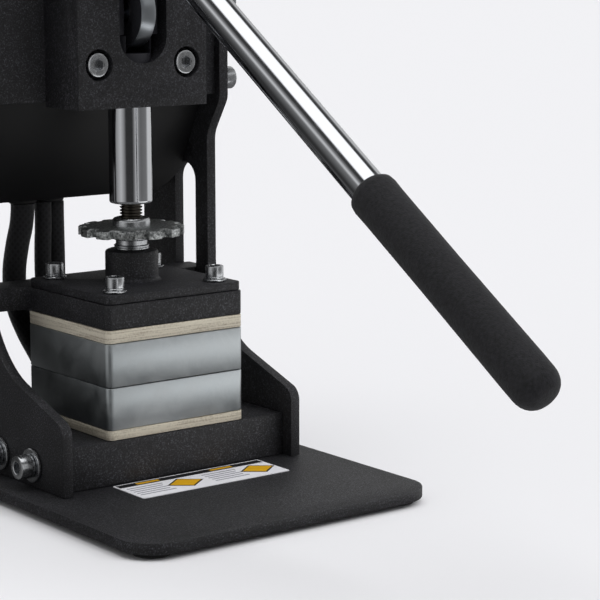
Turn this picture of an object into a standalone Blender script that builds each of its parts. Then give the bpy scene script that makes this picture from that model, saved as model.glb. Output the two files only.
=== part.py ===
"""Small toggle-lever heat press: a steel frame, two heated platens and a lever-driven ram.

+Z is up and the operator stands at -Y. The pieces are drawn about the ram's axis, and an
empty then moves them all so that the middle of the press's footprint is at the origin.
The press is shown closed, with the lever all the way down.
"""
import math

import bmesh
import bpy
from mathutils import Matrix, Vector

MM = 0.001

# Clearances
GAP = 0.3 * MM                      # between pieces that touch on the real press
RUNNING = 0.5 * MM                  # around pieces that slide or turn

# Feet and base plate
FOOT_RADIUS = 10 * MM
FOOT_HEIGHT = 3 * MM
FOOT_INSET = 16 * MM
BASE_WIDTH = 188 * MM
BASE_FRONT = -151 * MM
BASE_BACK = 100 * MM
BASE_THICKNESS = 6 * MM
BASE_CORNER = 20 * MM

# Side plates, cut from 6 mm sheet
INNER_WIDTH = 143.2 * MM            # between the two side plates
PLATE_THICKNESS = 6 * MM
PLATE_FOOT_FRONT = -51.6 * MM
PLATE_FOOT_HEIGHT = 38 * MM
PLATE_FOOT_SLOPE = math.radians(19)
PLATE_FOOT_CORNER = 8 * MM
PLATE_SWEEP = 53 * MM               # radius between the foot and the column
COLUMN_FRONT = 28.7 * MM
COLUMN_BACK = 96 * MM
HEAD_FRONT = 15.8 * MM              # front edge of the side plates beside the head
FLARE_LOW = 177.5 * MM              # above the base plate
FLARE_HIGH = 198 * MM
PLATE_HEIGHT = 336 * MM
PLATE_TOP_CORNER = 14 * MM

# Guide slot in each side plate
SLOT_CENTRE = 51.5 * MM
SLOT_WIDTH = 21 * MM
SLOT_LOW = 73 * MM                  # above the base plate
SLOT_HIGH = 159 * MM

# Platform block and its bolts
PLATFORM_FRONT = -43.9 * MM
PLATFORM_DEPTH = 84 * MM
PLATFORM_HEIGHT = 24 * MM
PLATFORM_BOLT_PITCH = 34 * MM
PLATFORM_BOLT_FRONT = 23 * MM       # from the block's front face

# Fasteners
M8_RADIUS = 4 * MM
M8_HEAD_RADIUS = 6.5 * MM
M8_HEAD_HEIGHT = 8 * MM
M8_SOCKET = 3 * MM                  # half the key size
M6_RADIUS = 3 * MM
M6_HEAD_RADIUS = 5 * MM
M6_HEAD_HEIGHT = 6 * MM
M6_SOCKET = 2.5 * MM
BOLT_BITE = 14 * MM                 # length of screw in the piece it holds
WASHER_RADIUS = 9.2 * MM
WASHER_THICKNESS = 1.6 * MM
SCREW_SIDES = 12

# Platens and boards, all about the same centre line
PLATEN_WIDTH = 88.4 * MM
PLATEN_DEPTH = 83.2 * MM
PLATEN_CENTRE = -2.4 * MM
PLATEN_CORNER = 3.5 * MM
LOWER_BOARD_THICKNESS = 5.1 * MM
LOWER_PLATEN_THICKNESS = 22.9 * MM
UPPER_PLATEN_THICKNESS = 23.5 * MM
UPPER_BOARD_THICKNESS = 6.9 * MM
HEATER_RADIUS = 5 * MM
HEATER_DEPTH = 63 * MM
HEATER_STUB = 3.5 * MM

# Carriage: block with guide ears, boss plate and its screws
CARRIAGE_THICKNESS = 13.2 * MM
EAR_SPAN = INNER_WIDTH + 18.8 * MM    # the ears pass through the side plates
EAR_FILLET = 8 * MM
BOSS_PLATE_THICKNESS = 4.6 * MM
BOSS_PLATE_INSET = 0.6 * MM
BOSS_RADIUS = 14.7 * MM
BOSS_HEIGHT = 16.9 * MM
CARRIAGE_SCREW_SIDE = 11.7 * MM     # screws from the sides of the carriage
CARRIAGE_SCREW_END = 10.65 * MM     # and from its front and back
CARRIAGE_WASHERS = 2.4 * MM          # flat and spring washer under each head

# Height adjuster between the boss and the ram
STUD_RADIUS = 6.2 * MM
STUD_JOURNAL_RADIUS = 6 * MM
STUD_JOURNAL_LENGTH = 12 * MM
STUD_COLLAR_RADIUS = 9.7 * MM
STUD_COLLAR_HEIGHT = 2.4 * MM
STUD_NECK_RADIUS = 8.7 * MM
STUD_NECK_HEIGHT = 2.6 * MM
STUD_IN_RAM = 20 * MM
WHEEL_RADIUS = 29.2 * MM
WHEEL_TOOTH_DEPTH = 3.6 * MM
WHEEL_TEETH = 12
WHEEL_THICKNESS = 3.4 * MM
WHEEL_HUB_RADIUS = 10.4 * MM
WHEEL_HUB_HEIGHT = 12.3 * MM
WHEEL_DISC_LIFT = 3.6 * MM          # disc's underside above the hub's
WHEEL_TO_RAM = 7.9 * MM               # thread left showing

# Ram
RAM_RADIUS = 11.9 * MM
RAM_SHOULDER = 92 * MM              # where the round ends and the fork begins, above the ram's lower end
FORK_HALF_WIDTH = 13.9 * MM
FORK_GAP = 3 * MM                   # each side of the link
EAR_HALF_DEPTH = 8 * MM
EAR_TOP_ABOVE_PIN = 9.5 * MM
RAM_PIN_HEIGHT = 104 * MM           # toggle pin above the ram's lower end
RAM_SLOT_BELOW_PIN = 22 * MM
RAM_PIN_RADIUS = 5 * MM

# Head block and head plate
BLOCK_WIDTH = 82.4 * MM
BLOCK_FRONT = -14.5 * MM
BLOCK_DEPTH = 34 * MM
BLOCK_BOTTOM = 53.2 * MM            # above the ram's lower end
BLOCK_HEIGHT = 134 * MM
U_SLOT_WIDTH = 30.2 * MM
U_SLOT_FLOOR = 23.5 * MM            # above the block's underside
HEAD_PLATE_THICKNESS = 14 * MM
HEAD_PLATE_RISE = 2.5 * MM          # its underside above the block's
BLOCK_SCREW_HALF_PITCH = 28.2 * MM
BLOCK_SCREW_LOW = 23.6 * MM         # above the block's underside
BLOCK_SCREW_RISE = 59 * MM
COUNTERBORE_RADIUS = 8.5 * MM
COUNTERBORE_DEPTH = 9 * MM
HEAD_BOLT_LOW = 8.5 * MM             # above the head plate's underside
HEAD_BOLT_PITCH = 44 * MM

# Lever and toggle
CRANK_RADIUS = 15 * MM
LINK_LENGTH = 43 * MM
LEVER_DROOP = math.radians(33.5)    # the lever's slope when the press is closed
PIVOT_RADIUS = 5 * MM
CRANK_PIN_RADIUS = 4 * MM
HUB_HALF_WIDTH = 12 * MM
HUB_RADIUS = 16 * MM
HUB_LOBE_RADIUS = 8.5 * MM
SOCKET_RADIUS = 12.5 * MM
SOCKET_LENGTH = 44 * MM
BAR_RADIUS = 9.2 * MM
BAR_START = 20 * MM
GRIP_START = 247.6 * MM
LEVER_LENGTH = 391.4 * MM
GRIP_RADIUS = 12 * MM
GRIP_LIP_RADIUS = 12.8 * MM
LINK_THICKNESS = 9.4 * MM
LINK_TOP_RADIUS = 7 * MM
LINK_FOOT_RADIUS = 18 * MM
LINK_FOOT_SLACK = 3.0 * MM          # open pivot of the linkage

# Control housing behind the head
HOUSING_BOTTOM = 142 * MM           # above the base plate
HOUSING_TOP = 322 * MM
HOUSING_BACK = 108 * MM
HOUSING_LIP = 62 * MM               # where the sloping face meets the underside
HOUSING_SLOPE_TOP = 197 * MM        # above the base plate
HOUSING_CORNER = 18 * MM
HOUSING_WALL = 2.5 * MM
COVER_THICKNESS = 2 * MM
DISPLAY_WIDTH = 46 * MM
DISPLAY_HEIGHT = 24 * MM
DISPLAY_CENTRE = 240 * MM           # above the base plate
BUTTON_RADIUS = 4 * MM
BUTTON_PROUD = 2.5 * MM
BUTTON_PITCH = 22 * MM
BUTTON_CENTRE = 212 * MM
SWITCH_WIDTH = 14 * MM
SWITCH_HEIGHT = 20 * MM
SWITCH_PROUD = 2.2 * MM
SWITCH_X = 32 * MM
INLET_WIDTH = 27 * MM
INLET_HEIGHT = 20 * MM
INLET_X = -24 * MM
SOCKET_ROW = 174 * MM               # height of switch and inlet above the base plate
CONTROL_DEPTH = 8 * MM              # how far these pieces reach into the housing

# Heater leads, held at both ends
LEAD_BACK = 72 * MM
UPPER_LEAD_X = -9.5 * MM
UPPER_LEAD_RADIUS = 7.4 * MM
LOWER_LEAD_TOP_X = -27 * MM
LOWER_LEAD_X = -17 * MM
LOWER_LEAD_RADIUS = 6.9 * MM
GLAND_RADIUS = 8.4 * MM
GLAND_GRIP = 2 * MM
GLAND_SPIGOT = 5 * MM
LEAD_STEPS = 3

# Caution label on the base plate
LABEL_WIDTH = 96 * MM
LABEL_DEPTH = 30 * MM
LABEL_X = 4 * MM
LABEL_Y = -61 * MM
LABEL_THICKNESS = 0.4 * MM

# Heights and places that follow from the sizes above
BASE_TOP = FOOT_HEIGHT + BASE_THICKNESS
HALF_INNER = INNER_WIDTH / 2
HALF_OUTER = HALF_INNER + PLATE_THICKNESS
PLATFORM_LOW = BASE_TOP + GAP
PLATFORM_TOP = PLATFORM_LOW + PLATFORM_HEIGHT
LOWER_BOARD = PLATFORM_TOP + GAP
LOWER_PLATEN = LOWER_BOARD + LOWER_BOARD_THICKNESS + GAP
UPPER_PLATEN = LOWER_PLATEN + LOWER_PLATEN_THICKNESS + GAP
UPPER_BOARD = UPPER_PLATEN + UPPER_PLATEN_THICKNESS + GAP
CARRIAGE = UPPER_BOARD + UPPER_BOARD_THICKNESS + GAP
BOSS_PLATE = CARRIAGE + CARRIAGE_THICKNESS + GAP
BOSS_PLATE_TOP = BOSS_PLATE + BOSS_PLATE_THICKNESS
BOSS_TOP = BOSS_PLATE_TOP + BOSS_HEIGHT
STUD_COLLAR = BOSS_TOP + GAP
WHEEL = STUD_COLLAR + STUD_COLLAR_HEIGHT + STUD_NECK_HEIGHT + GAP
RAM_LOW = WHEEL + WHEEL_HUB_HEIGHT + WHEEL_TO_RAM
RAM_PIN = RAM_LOW + RAM_PIN_HEIGHT
CRANK_PIN = RAM_PIN + LINK_LENGTH
PIVOT = CRANK_PIN + CRANK_RADIUS
BLOCK_LOW = RAM_LOW + BLOCK_BOTTOM
BLOCK_BACK = BLOCK_FRONT + BLOCK_DEPTH
HEAD_PLATE_FRONT = BLOCK_BACK + GAP
HEAD_PLATE_BACK = HEAD_PLATE_FRONT + HEAD_PLATE_THICKNESS
HOUSING_FRONT = HEAD_PLATE_BACK + GAP
COVER_FRONT = HOUSING_BACK + GAP
COVER_BACK = COVER_FRONT + COVER_THICKNESS
PLATEN_FRONT = PLATEN_CENTRE - PLATEN_DEPTH / 2
PLATEN_BACK = PLATEN_CENTRE + PLATEN_DEPTH / 2
UPPER_HEATER = UPPER_PLATEN + UPPER_PLATEN_THICKNESS / 2
LOWER_HEATER = LOWER_PLATEN + LOWER_PLATEN_THICKNESS / 2
HEATER_END = PLATEN_BACK + HEATER_STUB
HOUSING_LOW = BASE_TOP + HOUSING_BOTTOM
PIVOT_POINT = Vector((0, 0, PIVOT))
LEVER_DIRECTION = Vector((0, -math.cos(LEVER_DROOP), -math.sin(LEVER_DROOP)))

FINISHES = {                        # colour, metallic, roughness
    "powder coat": ((0.028, 0.028, 0.031), 0.0, 0.62),
    "chrome": ((0.72, 0.73, 0.75), 1.0, 0.14),
    "zinc": ((0.62, 0.63, 0.64), 1.0, 0.38),
    "aluminium": ((0.46, 0.48, 0.49), 1.0, 0.42),
    "fibre board": ((0.58, 0.50, 0.38), 0.0, 0.75),
    "rubber": ((0.014, 0.014, 0.015), 0.0, 0.85),
    "black plastic": ((0.02, 0.02, 0.022), 0.0, 0.45),
    "dark glass": ((0.01, 0.01, 0.012), 0.0, 0.12),
    "label": ((0.85, 0.85, 0.84), 0.0, 0.5),
}


def finish_material(name, finish):
    """Give each object its own material, from the press's short list of finishes."""
    colour, metallic, roughness = FINISHES[finish]
    material = bpy.data.materials.new(name)
    material.use_nodes = True
    shader = material.node_tree.nodes["Principled BSDF"]
    shader.inputs["Base Color"].default_value = (*colour, 1.0)
    shader.inputs["Metallic"].default_value = metallic
    shader.inputs["Roughness"].default_value = roughness
    return material


def make(name, bm, finish, origin=(0, 0, 0), smooth=35):
    """Turn a bmesh in world coordinates into an object whose origin is at the given point."""
    bmesh.ops.remove_doubles(bm, verts=bm.verts, dist=1e-6)
    bmesh.ops.recalc_face_normals(bm, faces=bm.faces)
    bmesh.ops.translate(bm, verts=bm.verts, vec=-Vector(origin))
    mesh = bpy.data.meshes.new(name)
    bm.to_mesh(mesh)
    bm.free()
    mesh.shade_smooth()
    mesh.set_sharp_from_angle(angle=math.radians(smooth))
    obj = bpy.data.objects.new(name, mesh)
    obj.location = origin
    bpy.context.scene.collection.objects.link(obj)
    if finish:
        mesh.materials.append(finish_material(name, finish))
    return obj


def rounded(corners, steps=5):
    """Outline through corners (a, b, radius), with each radius drawn as an arc."""
    points = []
    count = len(corners)
    for i, (a, b, radius) in enumerate(corners):
        here = Vector((a, b))
        before = (Vector(corners[i - 1][:2]) - here).normalized()
        after = (Vector(corners[(i + 1) % count][:2]) - here).normalized()
        if radius <= 0:
            points.append((a, b))
            continue
        half = before.angle(after) / 2
        centre = here + (before + after).normalized() * (radius / math.sin(half))
        reach = radius / math.tan(half)
        start = here + before * reach - centre
        end = here + after * reach - centre
        turn = math.atan2(start.x * end.y - start.y * end.x, start.dot(end))
        for k in range(steps + 1):
            spot = centre + Matrix.Rotation(turn * k / steps, 2) @ start
            points.append((spot.x, spot.y))
    return points


def circle(a, b, radius, sides=24):
    """Round outline."""
    step = 2 * math.pi / sides
    return [(a + radius * math.cos(step * (k + 0.5)), b + radius * math.sin(step * (k + 0.5)))
            for k in range(sides)]


def rectangle(a_low, a_high, b_low, b_high, radius=0):
    """Rectangular outline, with rounded corners if asked."""
    return rounded([(a_low, b_low, radius), (a_high, b_low, radius),
                    (a_high, b_high, radius), (a_low, b_high, radius)])


def place(axis, a, b, along):
    """Point from outline coordinates: X outlines are (y, z), Y are (x, z), Z are (x, y)."""
    if axis == "X":
        return Vector((along, a, b))
    if axis == "Y":
        return Vector((a, along, b))
    return Vector((a, b, along))


def prism(axis, low, high, outline, holes=()):
    """Sheet or bar with a given outline and through holes."""
    bm = bmesh.new()
    for loop in (outline, *holes):
        verts = [bm.verts.new(place(axis, a, b, low)) for a, b in loop]
        for i, vert in enumerate(verts):
            bm.edges.new((vert, verts[i - 1]))
    bmesh.ops.triangle_fill(bm, edges=bm.edges[:], use_beauty=True)
    side = bmesh.ops.extrude_face_region(bm, geom=bm.faces[:])
    moved = [item for item in side["geom"] if isinstance(item, bmesh.types.BMVert)]
    bmesh.ops.translate(bm, verts=moved, vec=place(axis, 0, 0, high - low))
    return bm


def turned(rings, sides=32):
    """Round solid from rings (radius, height) run bottom to top; a hex ring has a third item."""
    bm = bmesh.new()
    loops = []
    for ring in rings:
        hexagonal = len(ring) == 3
        loop = []
        for k in range(sides):
            angle = 2 * math.pi * k / sides
            radius = ring[0]
            if hexagonal:
                radius /= math.cos((angle + math.pi / 6) % (math.pi / 3) - math.pi / 6)
            loop.append(bm.verts.new((radius * math.cos(angle), radius * math.sin(angle), ring[1])))
        loops.append(loop)
    for lower, upper in zip(loops, loops[1:]):
        for k in range(sides):
            bm.faces.new((lower[k - 1], lower[k], upper[k], upper[k - 1]))
    bm.faces.new(loops[0])
    bm.faces.new(loops[-1])
    return bm


def aim(bm, direction, origin):
    """Turn a solid made along +Z so that it points along a direction, and move it."""
    turn = Vector((0, 0, 1)).rotation_difference(Vector(direction)).to_matrix().to_4x4()
    bmesh.ops.transform(bm, matrix=Matrix.Translation(Vector(origin)) @ turn, verts=bm.verts)
    return bm


def boolean(target, bm, operation="DIFFERENCE"):
    """Cut a piece with a hidden cutter, or join one to it."""
    cutter = make("cutter_" + target.name, bm, None)
    cutter.hide_render = True
    cutter.display_type = "WIRE"
    modifier = target.modifiers.new(operation.title(), "BOOLEAN")
    modifier.operation = operation
    modifier.solver = "EXACT"
    modifier.object = cutter


def bore(target, origin, direction, radius, depth, sides=24):
    """Drill a round hole that starts just outside a face."""
    rings = [(radius, -1 * MM), (radius, depth)]
    boolean(target, aim(turned(rings, sides), direction, origin))


def socket_screw(name, origin, direction, radius, head_radius, head, shank, key, seat=0, seat_radius=0):
    """Hex socket cap screw; origin is the seat of the head, direction is out of the head."""
    rings = [(radius, -shank), (radius, 0)]
    if seat:
        rings += [(seat_radius, 0), (seat_radius, seat)]
    rings += [(head_radius, seat), (head_radius, seat + head - 0.5 * MM),
              (head_radius - 0.5 * MM, seat + head), (key, seat + head, "hex"),
              (key, seat + head * 0.45, "hex")]
    return make(name, aim(turned(rings, SCREW_SIDES), direction, origin), "zinc")


def base_and_feet():
    """Base plate with four rubber feet under its corners."""
    half = BASE_WIDTH / 2
    outline = rectangle(-half, half, BASE_FRONT, BASE_BACK, BASE_CORNER)
    make("base_plate", prism("Z", FOOT_HEIGHT, BASE_TOP, outline), "powder coat")
    foot_rings = [(FOOT_RADIUS, 0), (FOOT_RADIUS * 0.92, FOOT_HEIGHT - GAP)]
    for side, x in (("left", -half + FOOT_INSET), ("right", half - FOOT_INSET)):
        for end, y in (("front", BASE_FRONT + FOOT_INSET), ("back", BASE_BACK - FOOT_INSET)):
            foot = aim(turned(foot_rings, 20), (0, 0, 1), (x, y, 0))
            make(f"foot_{end}_{side}", foot, "rubber")


def side_plate_outline():
    """Profile of a side plate: low sloping foot in front, column, and a head that comes forward."""
    low = BASE_TOP + GAP
    foot_top = BASE_TOP + PLATE_FOOT_HEIGHT
    rise = (COLUMN_FRONT - PLATE_FOOT_FRONT) * math.tan(PLATE_FOOT_SLOPE)
    top = BASE_TOP + PLATE_HEIGHT
    return rounded([
        (PLATE_FOOT_FRONT, low, 0),
        (COLUMN_BACK, low, 0),
        (COLUMN_BACK, top, PLATE_TOP_CORNER),
        (HEAD_FRONT, top, PLATE_TOP_CORNER),
        (HEAD_FRONT, BASE_TOP + FLARE_HIGH, PLATE_FOOT_CORNER),
        (COLUMN_FRONT, BASE_TOP + FLARE_LOW, PLATE_TOP_CORNER),
        (COLUMN_FRONT, foot_top + rise, PLATE_SWEEP),
        (PLATE_FOOT_FRONT, foot_top, PLATE_FOOT_CORNER),
    ], 8)


def platform_bolt_rows():
    """The (y, z) places of the bolts into the ends of the platform block."""
    first = PLATFORM_FRONT + PLATFORM_BOLT_FRONT
    height = PLATFORM_LOW + PLATFORM_HEIGHT / 2
    return [(first, height), (first + PLATFORM_BOLT_PITCH, height)]


def head_bolt_rows():
    """The (y, z) places of the bolts into the edges of the head plate."""
    middle = (HEAD_PLATE_FRONT + HEAD_PLATE_BACK) / 2
    first = BLOCK_LOW + HEAD_PLATE_RISE + HEAD_BOLT_LOW
    return [(middle, first), (middle, first + HEAD_BOLT_PITCH)]


def side_plates():
    """The two identical side plates, with their guide slots and bolt holes."""
    slot_half = SLOT_WIDTH / 2
    slot = rectangle(SLOT_CENTRE - slot_half, SLOT_CENTRE + slot_half,
                     BASE_TOP + SLOT_LOW, BASE_TOP + SLOT_HIGH, slot_half * 0.998)
    rows = platform_bolt_rows() + head_bolt_rows()
    holes = [circle(y, z, M8_RADIUS + GAP, 16) for y, z in rows]
    for name, low in (("left_side_plate", -HALF_OUTER), ("right_side_plate", HALF_INNER)):
        sheet = prism("X", low, low + PLATE_THICKNESS, side_plate_outline(), [slot, *holes])
        make(name, sheet, "powder coat")


def side_bolts(piece, rows, label, washers):
    """Bolts through both side plates into the ends of a cross piece."""
    seat = HALF_OUTER + GAP
    reach = BOLT_BITE + seat - HALF_INNER
    for side, sign in (("left", -1), ("right", 1)):
        for number, (y, z) in enumerate(rows, 1):
            out = (sign, 0, 0)
            lift = WASHER_THICKNESS + GAP if washers else 0
            head = (sign * (seat + lift), y, z)
            flange = (0, 0) if washers else (WASHER_THICKNESS, WASHER_RADIUS)
            socket_screw(f"{label}_bolt_{side}_{number}", head, out, M8_RADIUS, M8_HEAD_RADIUS,
                         M8_HEAD_HEIGHT, reach + lift, M8_SOCKET, *flange)
            if washers:
                ring = prism("X", 0, sign * WASHER_THICKNESS, circle(y, z, WASHER_RADIUS, 20),
                             [circle(y, z, M8_RADIUS + GAP, 16)])
                bmesh.ops.translate(ring, verts=ring.verts, vec=(sign * seat, 0, 0))
                make(f"{label}_washer_{side}_{number}", ring, "zinc")
            bore(piece, (sign * (HALF_INNER - GAP), y, z), (-sign, 0, 0), M8_RADIUS + GAP,
                 BOLT_BITE + 1 * MM, 16)


def platform():
    """Block across the foot of the frame that carries the lower platen."""
    half = HALF_INNER - GAP
    outline = rectangle(-half, half, PLATFORM_FRONT, PLATFORM_FRONT + PLATFORM_DEPTH)
    block = make("platform_block", prism("Z", PLATFORM_LOW, PLATFORM_TOP, outline), "powder coat")
    side_bolts(block, platform_bolt_rows(), "platform", True)


def platen_outline(inset=0):
    """Plan of the platens and of everything stacked with them."""
    half = PLATEN_WIDTH / 2 - inset
    return rectangle(-half, half, PLATEN_FRONT + inset, PLATEN_BACK - inset, PLATEN_CORNER)


def heated_platen(name, low, thickness, heater_name, x, z):
    """Aluminium platen with a cartridge heater in a hole drilled from its back."""
    platen = make(name, prism("Z", low, low + thickness, platen_outline()), "aluminium")
    back = (x, PLATEN_BACK, z)
    bore(platen, back, (0, -1, 0), HEATER_RADIUS + GAP, HEATER_DEPTH + 1 * MM, 20)
    rings = [(HEATER_RADIUS, -HEATER_STUB), (HEATER_RADIUS, HEATER_DEPTH)]
    make(heater_name, aim(turned(rings, 16), (0, -1, 0), back), "chrome")


def platens_and_boards():
    """Both platens, each on a heat-insulating board."""
    make("lower_insulator_board", prism("Z", LOWER_BOARD, LOWER_BOARD + LOWER_BOARD_THICKNESS,
                                        platen_outline()), "fibre board")
    heated_platen("lower_platen", LOWER_PLATEN, LOWER_PLATEN_THICKNESS, "lower_cartridge_heater",
                  LOWER_LEAD_X, LOWER_HEATER)
    heated_platen("upper_platen", UPPER_PLATEN, UPPER_PLATEN_THICKNESS, "upper_cartridge_heater",
                  UPPER_LEAD_X, UPPER_HEATER)
    make("upper_insulator_board", prism("Z", UPPER_BOARD, UPPER_BOARD + UPPER_BOARD_THICKNESS,
                                        platen_outline()), "fibre board")


def carriage_screw_places():
    """The (x, y) places of the four screws through the boss plate."""
    across = PLATEN_WIDTH / 2 - CARRIAGE_SCREW_SIDE
    along = PLATEN_DEPTH / 2 - CARRIAGE_SCREW_END
    return [(x, PLATEN_CENTRE + y) for x in (-across, across) for y in (-along, along)]


def carriage():
    """Block that rides in the guide slots, with the boss plate screwed on top."""
    half = PLATEN_WIDTH / 2
    ear_front = SLOT_CENTRE - SLOT_WIDTH / 2 + RUNNING
    ear_back = SLOT_CENTRE + SLOT_WIDTH / 2 - RUNNING
    outline = rounded([
        (-half, PLATEN_FRONT, PLATEN_CORNER), (half, PLATEN_FRONT, PLATEN_CORNER),
        (half, ear_front, EAR_FILLET), (EAR_SPAN / 2, ear_front, 0),
        (EAR_SPAN / 2, ear_back, 0), (-EAR_SPAN / 2, ear_back, 0),
        (-EAR_SPAN / 2, ear_front, 0), (-half, ear_front, EAR_FILLET),
    ])
    places = carriage_screw_places()
    holes = [circle(x, y, M6_RADIUS + GAP, 16) for x, y in places]
    make("carriage_block", prism("Z", CARRIAGE, CARRIAGE + CARRIAGE_THICKNESS, outline, holes),
         "powder coat")
    sheet = prism("Z", BOSS_PLATE, BOSS_PLATE_TOP, platen_outline(BOSS_PLATE_INSET), holes)
    plate = make("boss_plate", sheet, "powder coat")
    rings = [(BOSS_RADIUS, BOSS_PLATE_TOP - 2 * MM), (BOSS_RADIUS, BOSS_TOP - 1 * MM),
             (BOSS_RADIUS - 1 * MM, BOSS_TOP)]
    boolean(plate, turned(rings, 32), "UNION")
    bore(plate, (0, 0, BOSS_TOP), (0, 0, -1), STUD_JOURNAL_RADIUS + GAP,
         STUD_JOURNAL_LENGTH + 1 * MM, 24)
    for number, (x, y) in enumerate(places, 1):
        socket_screw(f"boss_plate_screw_{number}", (x, y, BOSS_PLATE_TOP + GAP), (0, 0, 1),
                     M6_RADIUS, M6_HEAD_RADIUS, M6_HEAD_HEIGHT, BOLT_BITE, M6_SOCKET,
                     CARRIAGE_WASHERS, 6.6 * MM)


def adjuster():
    """Threaded stud with its toothed hand wheel, between the boss and the ram."""
    journal_low = STUD_COLLAR - STUD_JOURNAL_LENGTH
    neck = STUD_COLLAR + STUD_COLLAR_HEIGHT
    thread = neck + STUD_NECK_HEIGHT
    rings = [(STUD_JOURNAL_RADIUS, journal_low), (STUD_JOURNAL_RADIUS, STUD_COLLAR),
             (STUD_COLLAR_RADIUS, STUD_COLLAR), (STUD_COLLAR_RADIUS, neck),
             (STUD_NECK_RADIUS, neck), (STUD_NECK_RADIUS, thread), (STUD_RADIUS, thread),
             (STUD_RADIUS, RAM_LOW + STUD_IN_RAM)]
    make("adjusting_stud", turned(rings, 24), "zinc")
    disc_low = WHEEL + WHEEL_DISC_LIFT
    outline = []
    for tooth in range(WHEEL_TEETH):
        for share, radius in ((0.0, WHEEL_RADIUS), (0.45, WHEEL_RADIUS),
                              (0.55, WHEEL_RADIUS - WHEEL_TOOTH_DEPTH),
                              (0.9, WHEEL_RADIUS - WHEEL_TOOTH_DEPTH)):
            angle = 2 * math.pi * (tooth + share) / WHEEL_TEETH
            outline.append((radius * math.cos(angle), radius * math.sin(angle)))
    wheel = make("adjusting_wheel", prism("Z", disc_low, disc_low + WHEEL_THICKNESS, outline), "zinc")
    hub = [(WHEEL_HUB_RADIUS, WHEEL), (WHEEL_HUB_RADIUS, WHEEL + WHEEL_HUB_HEIGHT)]
    boolean(wheel, turned(hub, 24), "UNION")
    bore(wheel, (0, 0, WHEEL), (0, 0, 1), STUD_RADIUS + GAP, WHEEL_HUB_HEIGHT + 1 * MM, 24)


def ram():
    """Round ram with a wide fork on top for the toggle link."""
    thread_depth = STUD_IN_RAM + 8 * MM
    shoulder = RAM_LOW + RAM_SHOULDER
    top = RAM_PIN + EAR_TOP_ABOVE_PIN
    rings = [(STUD_RADIUS + GAP, RAM_LOW + thread_depth), (STUD_RADIUS + GAP, RAM_LOW),
             (RAM_RADIUS, RAM_LOW), (RAM_RADIUS, shoulder)]
    body = make("ram", turned(rings, 40), "chrome")
    fork = rectangle(-EAR_HALF_DEPTH, EAR_HALF_DEPTH, shoulder - 1 * MM, top)
    boolean(body, prism("X", -FORK_HALF_WIDTH, FORK_HALF_WIDTH, fork), "UNION")
    slot_half = LINK_THICKNESS / 2 + FORK_GAP
    slot = rectangle(-RAM_RADIUS - 1 * MM, RAM_RADIUS + 1 * MM, RAM_PIN - RAM_SLOT_BELOW_PIN, top + 1 * MM)
    boolean(body, prism("X", -slot_half, slot_half, slot))
    cross = FORK_HALF_WIDTH + 2 * MM
    boolean(body, aim(turned([(RAM_PIN_RADIUS + GAP, -cross), (RAM_PIN_RADIUS + GAP, cross)], 20),
                      (1, 0, 0), (0, 0, RAM_PIN)))
    pin = aim(turned([(RAM_PIN_RADIUS, -FORK_HALF_WIDTH), (RAM_PIN_RADIUS, FORK_HALF_WIDTH)], 20),
              (1, 0, 0), (0, 0, RAM_PIN))
    make("clevis_pin", pin, "chrome")


def head():
    """U-shaped head block, and the head plate it is screwed to."""
    half = BLOCK_WIDTH / 2
    top = BLOCK_LOW + BLOCK_HEIGHT
    slot_half = U_SLOT_WIDTH / 2
    floor = BLOCK_LOW + U_SLOT_FLOOR
    outline = rounded([(-half, BLOCK_LOW, 0), (half, BLOCK_LOW, 0), (half, top, 4 * MM),
                       (slot_half, top, 0), (slot_half, floor, slot_half * 0.98),
                       (-slot_half, floor, slot_half * 0.98), (-slot_half, top, 0),
                       (-half, top, 4 * MM)], 8)
    screw_rows = [BLOCK_LOW + BLOCK_SCREW_LOW, BLOCK_LOW + BLOCK_SCREW_LOW + BLOCK_SCREW_RISE]
    places = [(x, z) for x in (-BLOCK_SCREW_HALF_PITCH, BLOCK_SCREW_HALF_PITCH) for z in screw_rows]
    clear = [circle(x, z, M8_RADIUS + GAP, 16) for x, z in places]
    block = make("head_block", prism("Y", BLOCK_FRONT, BLOCK_BACK, outline, clear), "powder coat")
    bore(block, (0, 0, BLOCK_LOW), (0, 0, 1), RAM_RADIUS + GAP, U_SLOT_FLOOR + 12 * MM, 40)
    bore(block, (-half, 0, PIVOT), (1, 0, 0), PIVOT_RADIUS + GAP, BLOCK_WIDTH + 2 * MM, 24)
    for x, z in places:
        bore(block, (x, BLOCK_FRONT, z), (0, 1, 0), COUNTERBORE_RADIUS, COUNTERBORE_DEPTH, 24)
    inner = HALF_INNER - GAP
    plate_outline = rectangle(-inner, inner, BLOCK_LOW + HEAD_PLATE_RISE, top, 1 * MM)
    plate = make("head_plate", prism("Y", HEAD_PLATE_FRONT, HEAD_PLATE_BACK, plate_outline, clear),
                 "powder coat")
    for number, (x, z) in enumerate(places, 1):
        seat = BLOCK_FRONT + COUNTERBORE_DEPTH - GAP
        shank = BLOCK_BACK - seat + HEAD_PLATE_THICKNESS - 2 * MM
        socket_screw(f"head_block_screw_{number}", (x, seat, z), (0, -1, 0), M8_RADIUS,
                     M8_HEAD_RADIUS, M8_HEAD_HEIGHT, shank, M8_SOCKET)
    side_bolts(plate, head_bolt_rows(), "head", False)
    pin = aim(turned([(PIVOT_RADIUS, -half), (PIVOT_RADIUS, half)], 24), (1, 0, 0), PIVOT_POINT)
    make("pivot_pin", pin, "chrome")


def tear_outline(big, big_radius, small, small_radius, sides=28):
    """Two round ends, one above the other at y = 0, joined by their outer tangents."""
    rise = math.asin((big_radius - small_radius) / abs(small - big))
    points = []
    for low, high, centre, radius in ((rise, math.pi - rise, small, small_radius),
                                      (math.pi - rise, 2 * math.pi + rise, big, big_radius)):
        for k in range(sides // 2 + 1):
            angle = low + (high - low) * k / (sides // 2)
            points.append((radius * math.cos(angle), centre + radius * math.sin(angle)))
    return points


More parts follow.
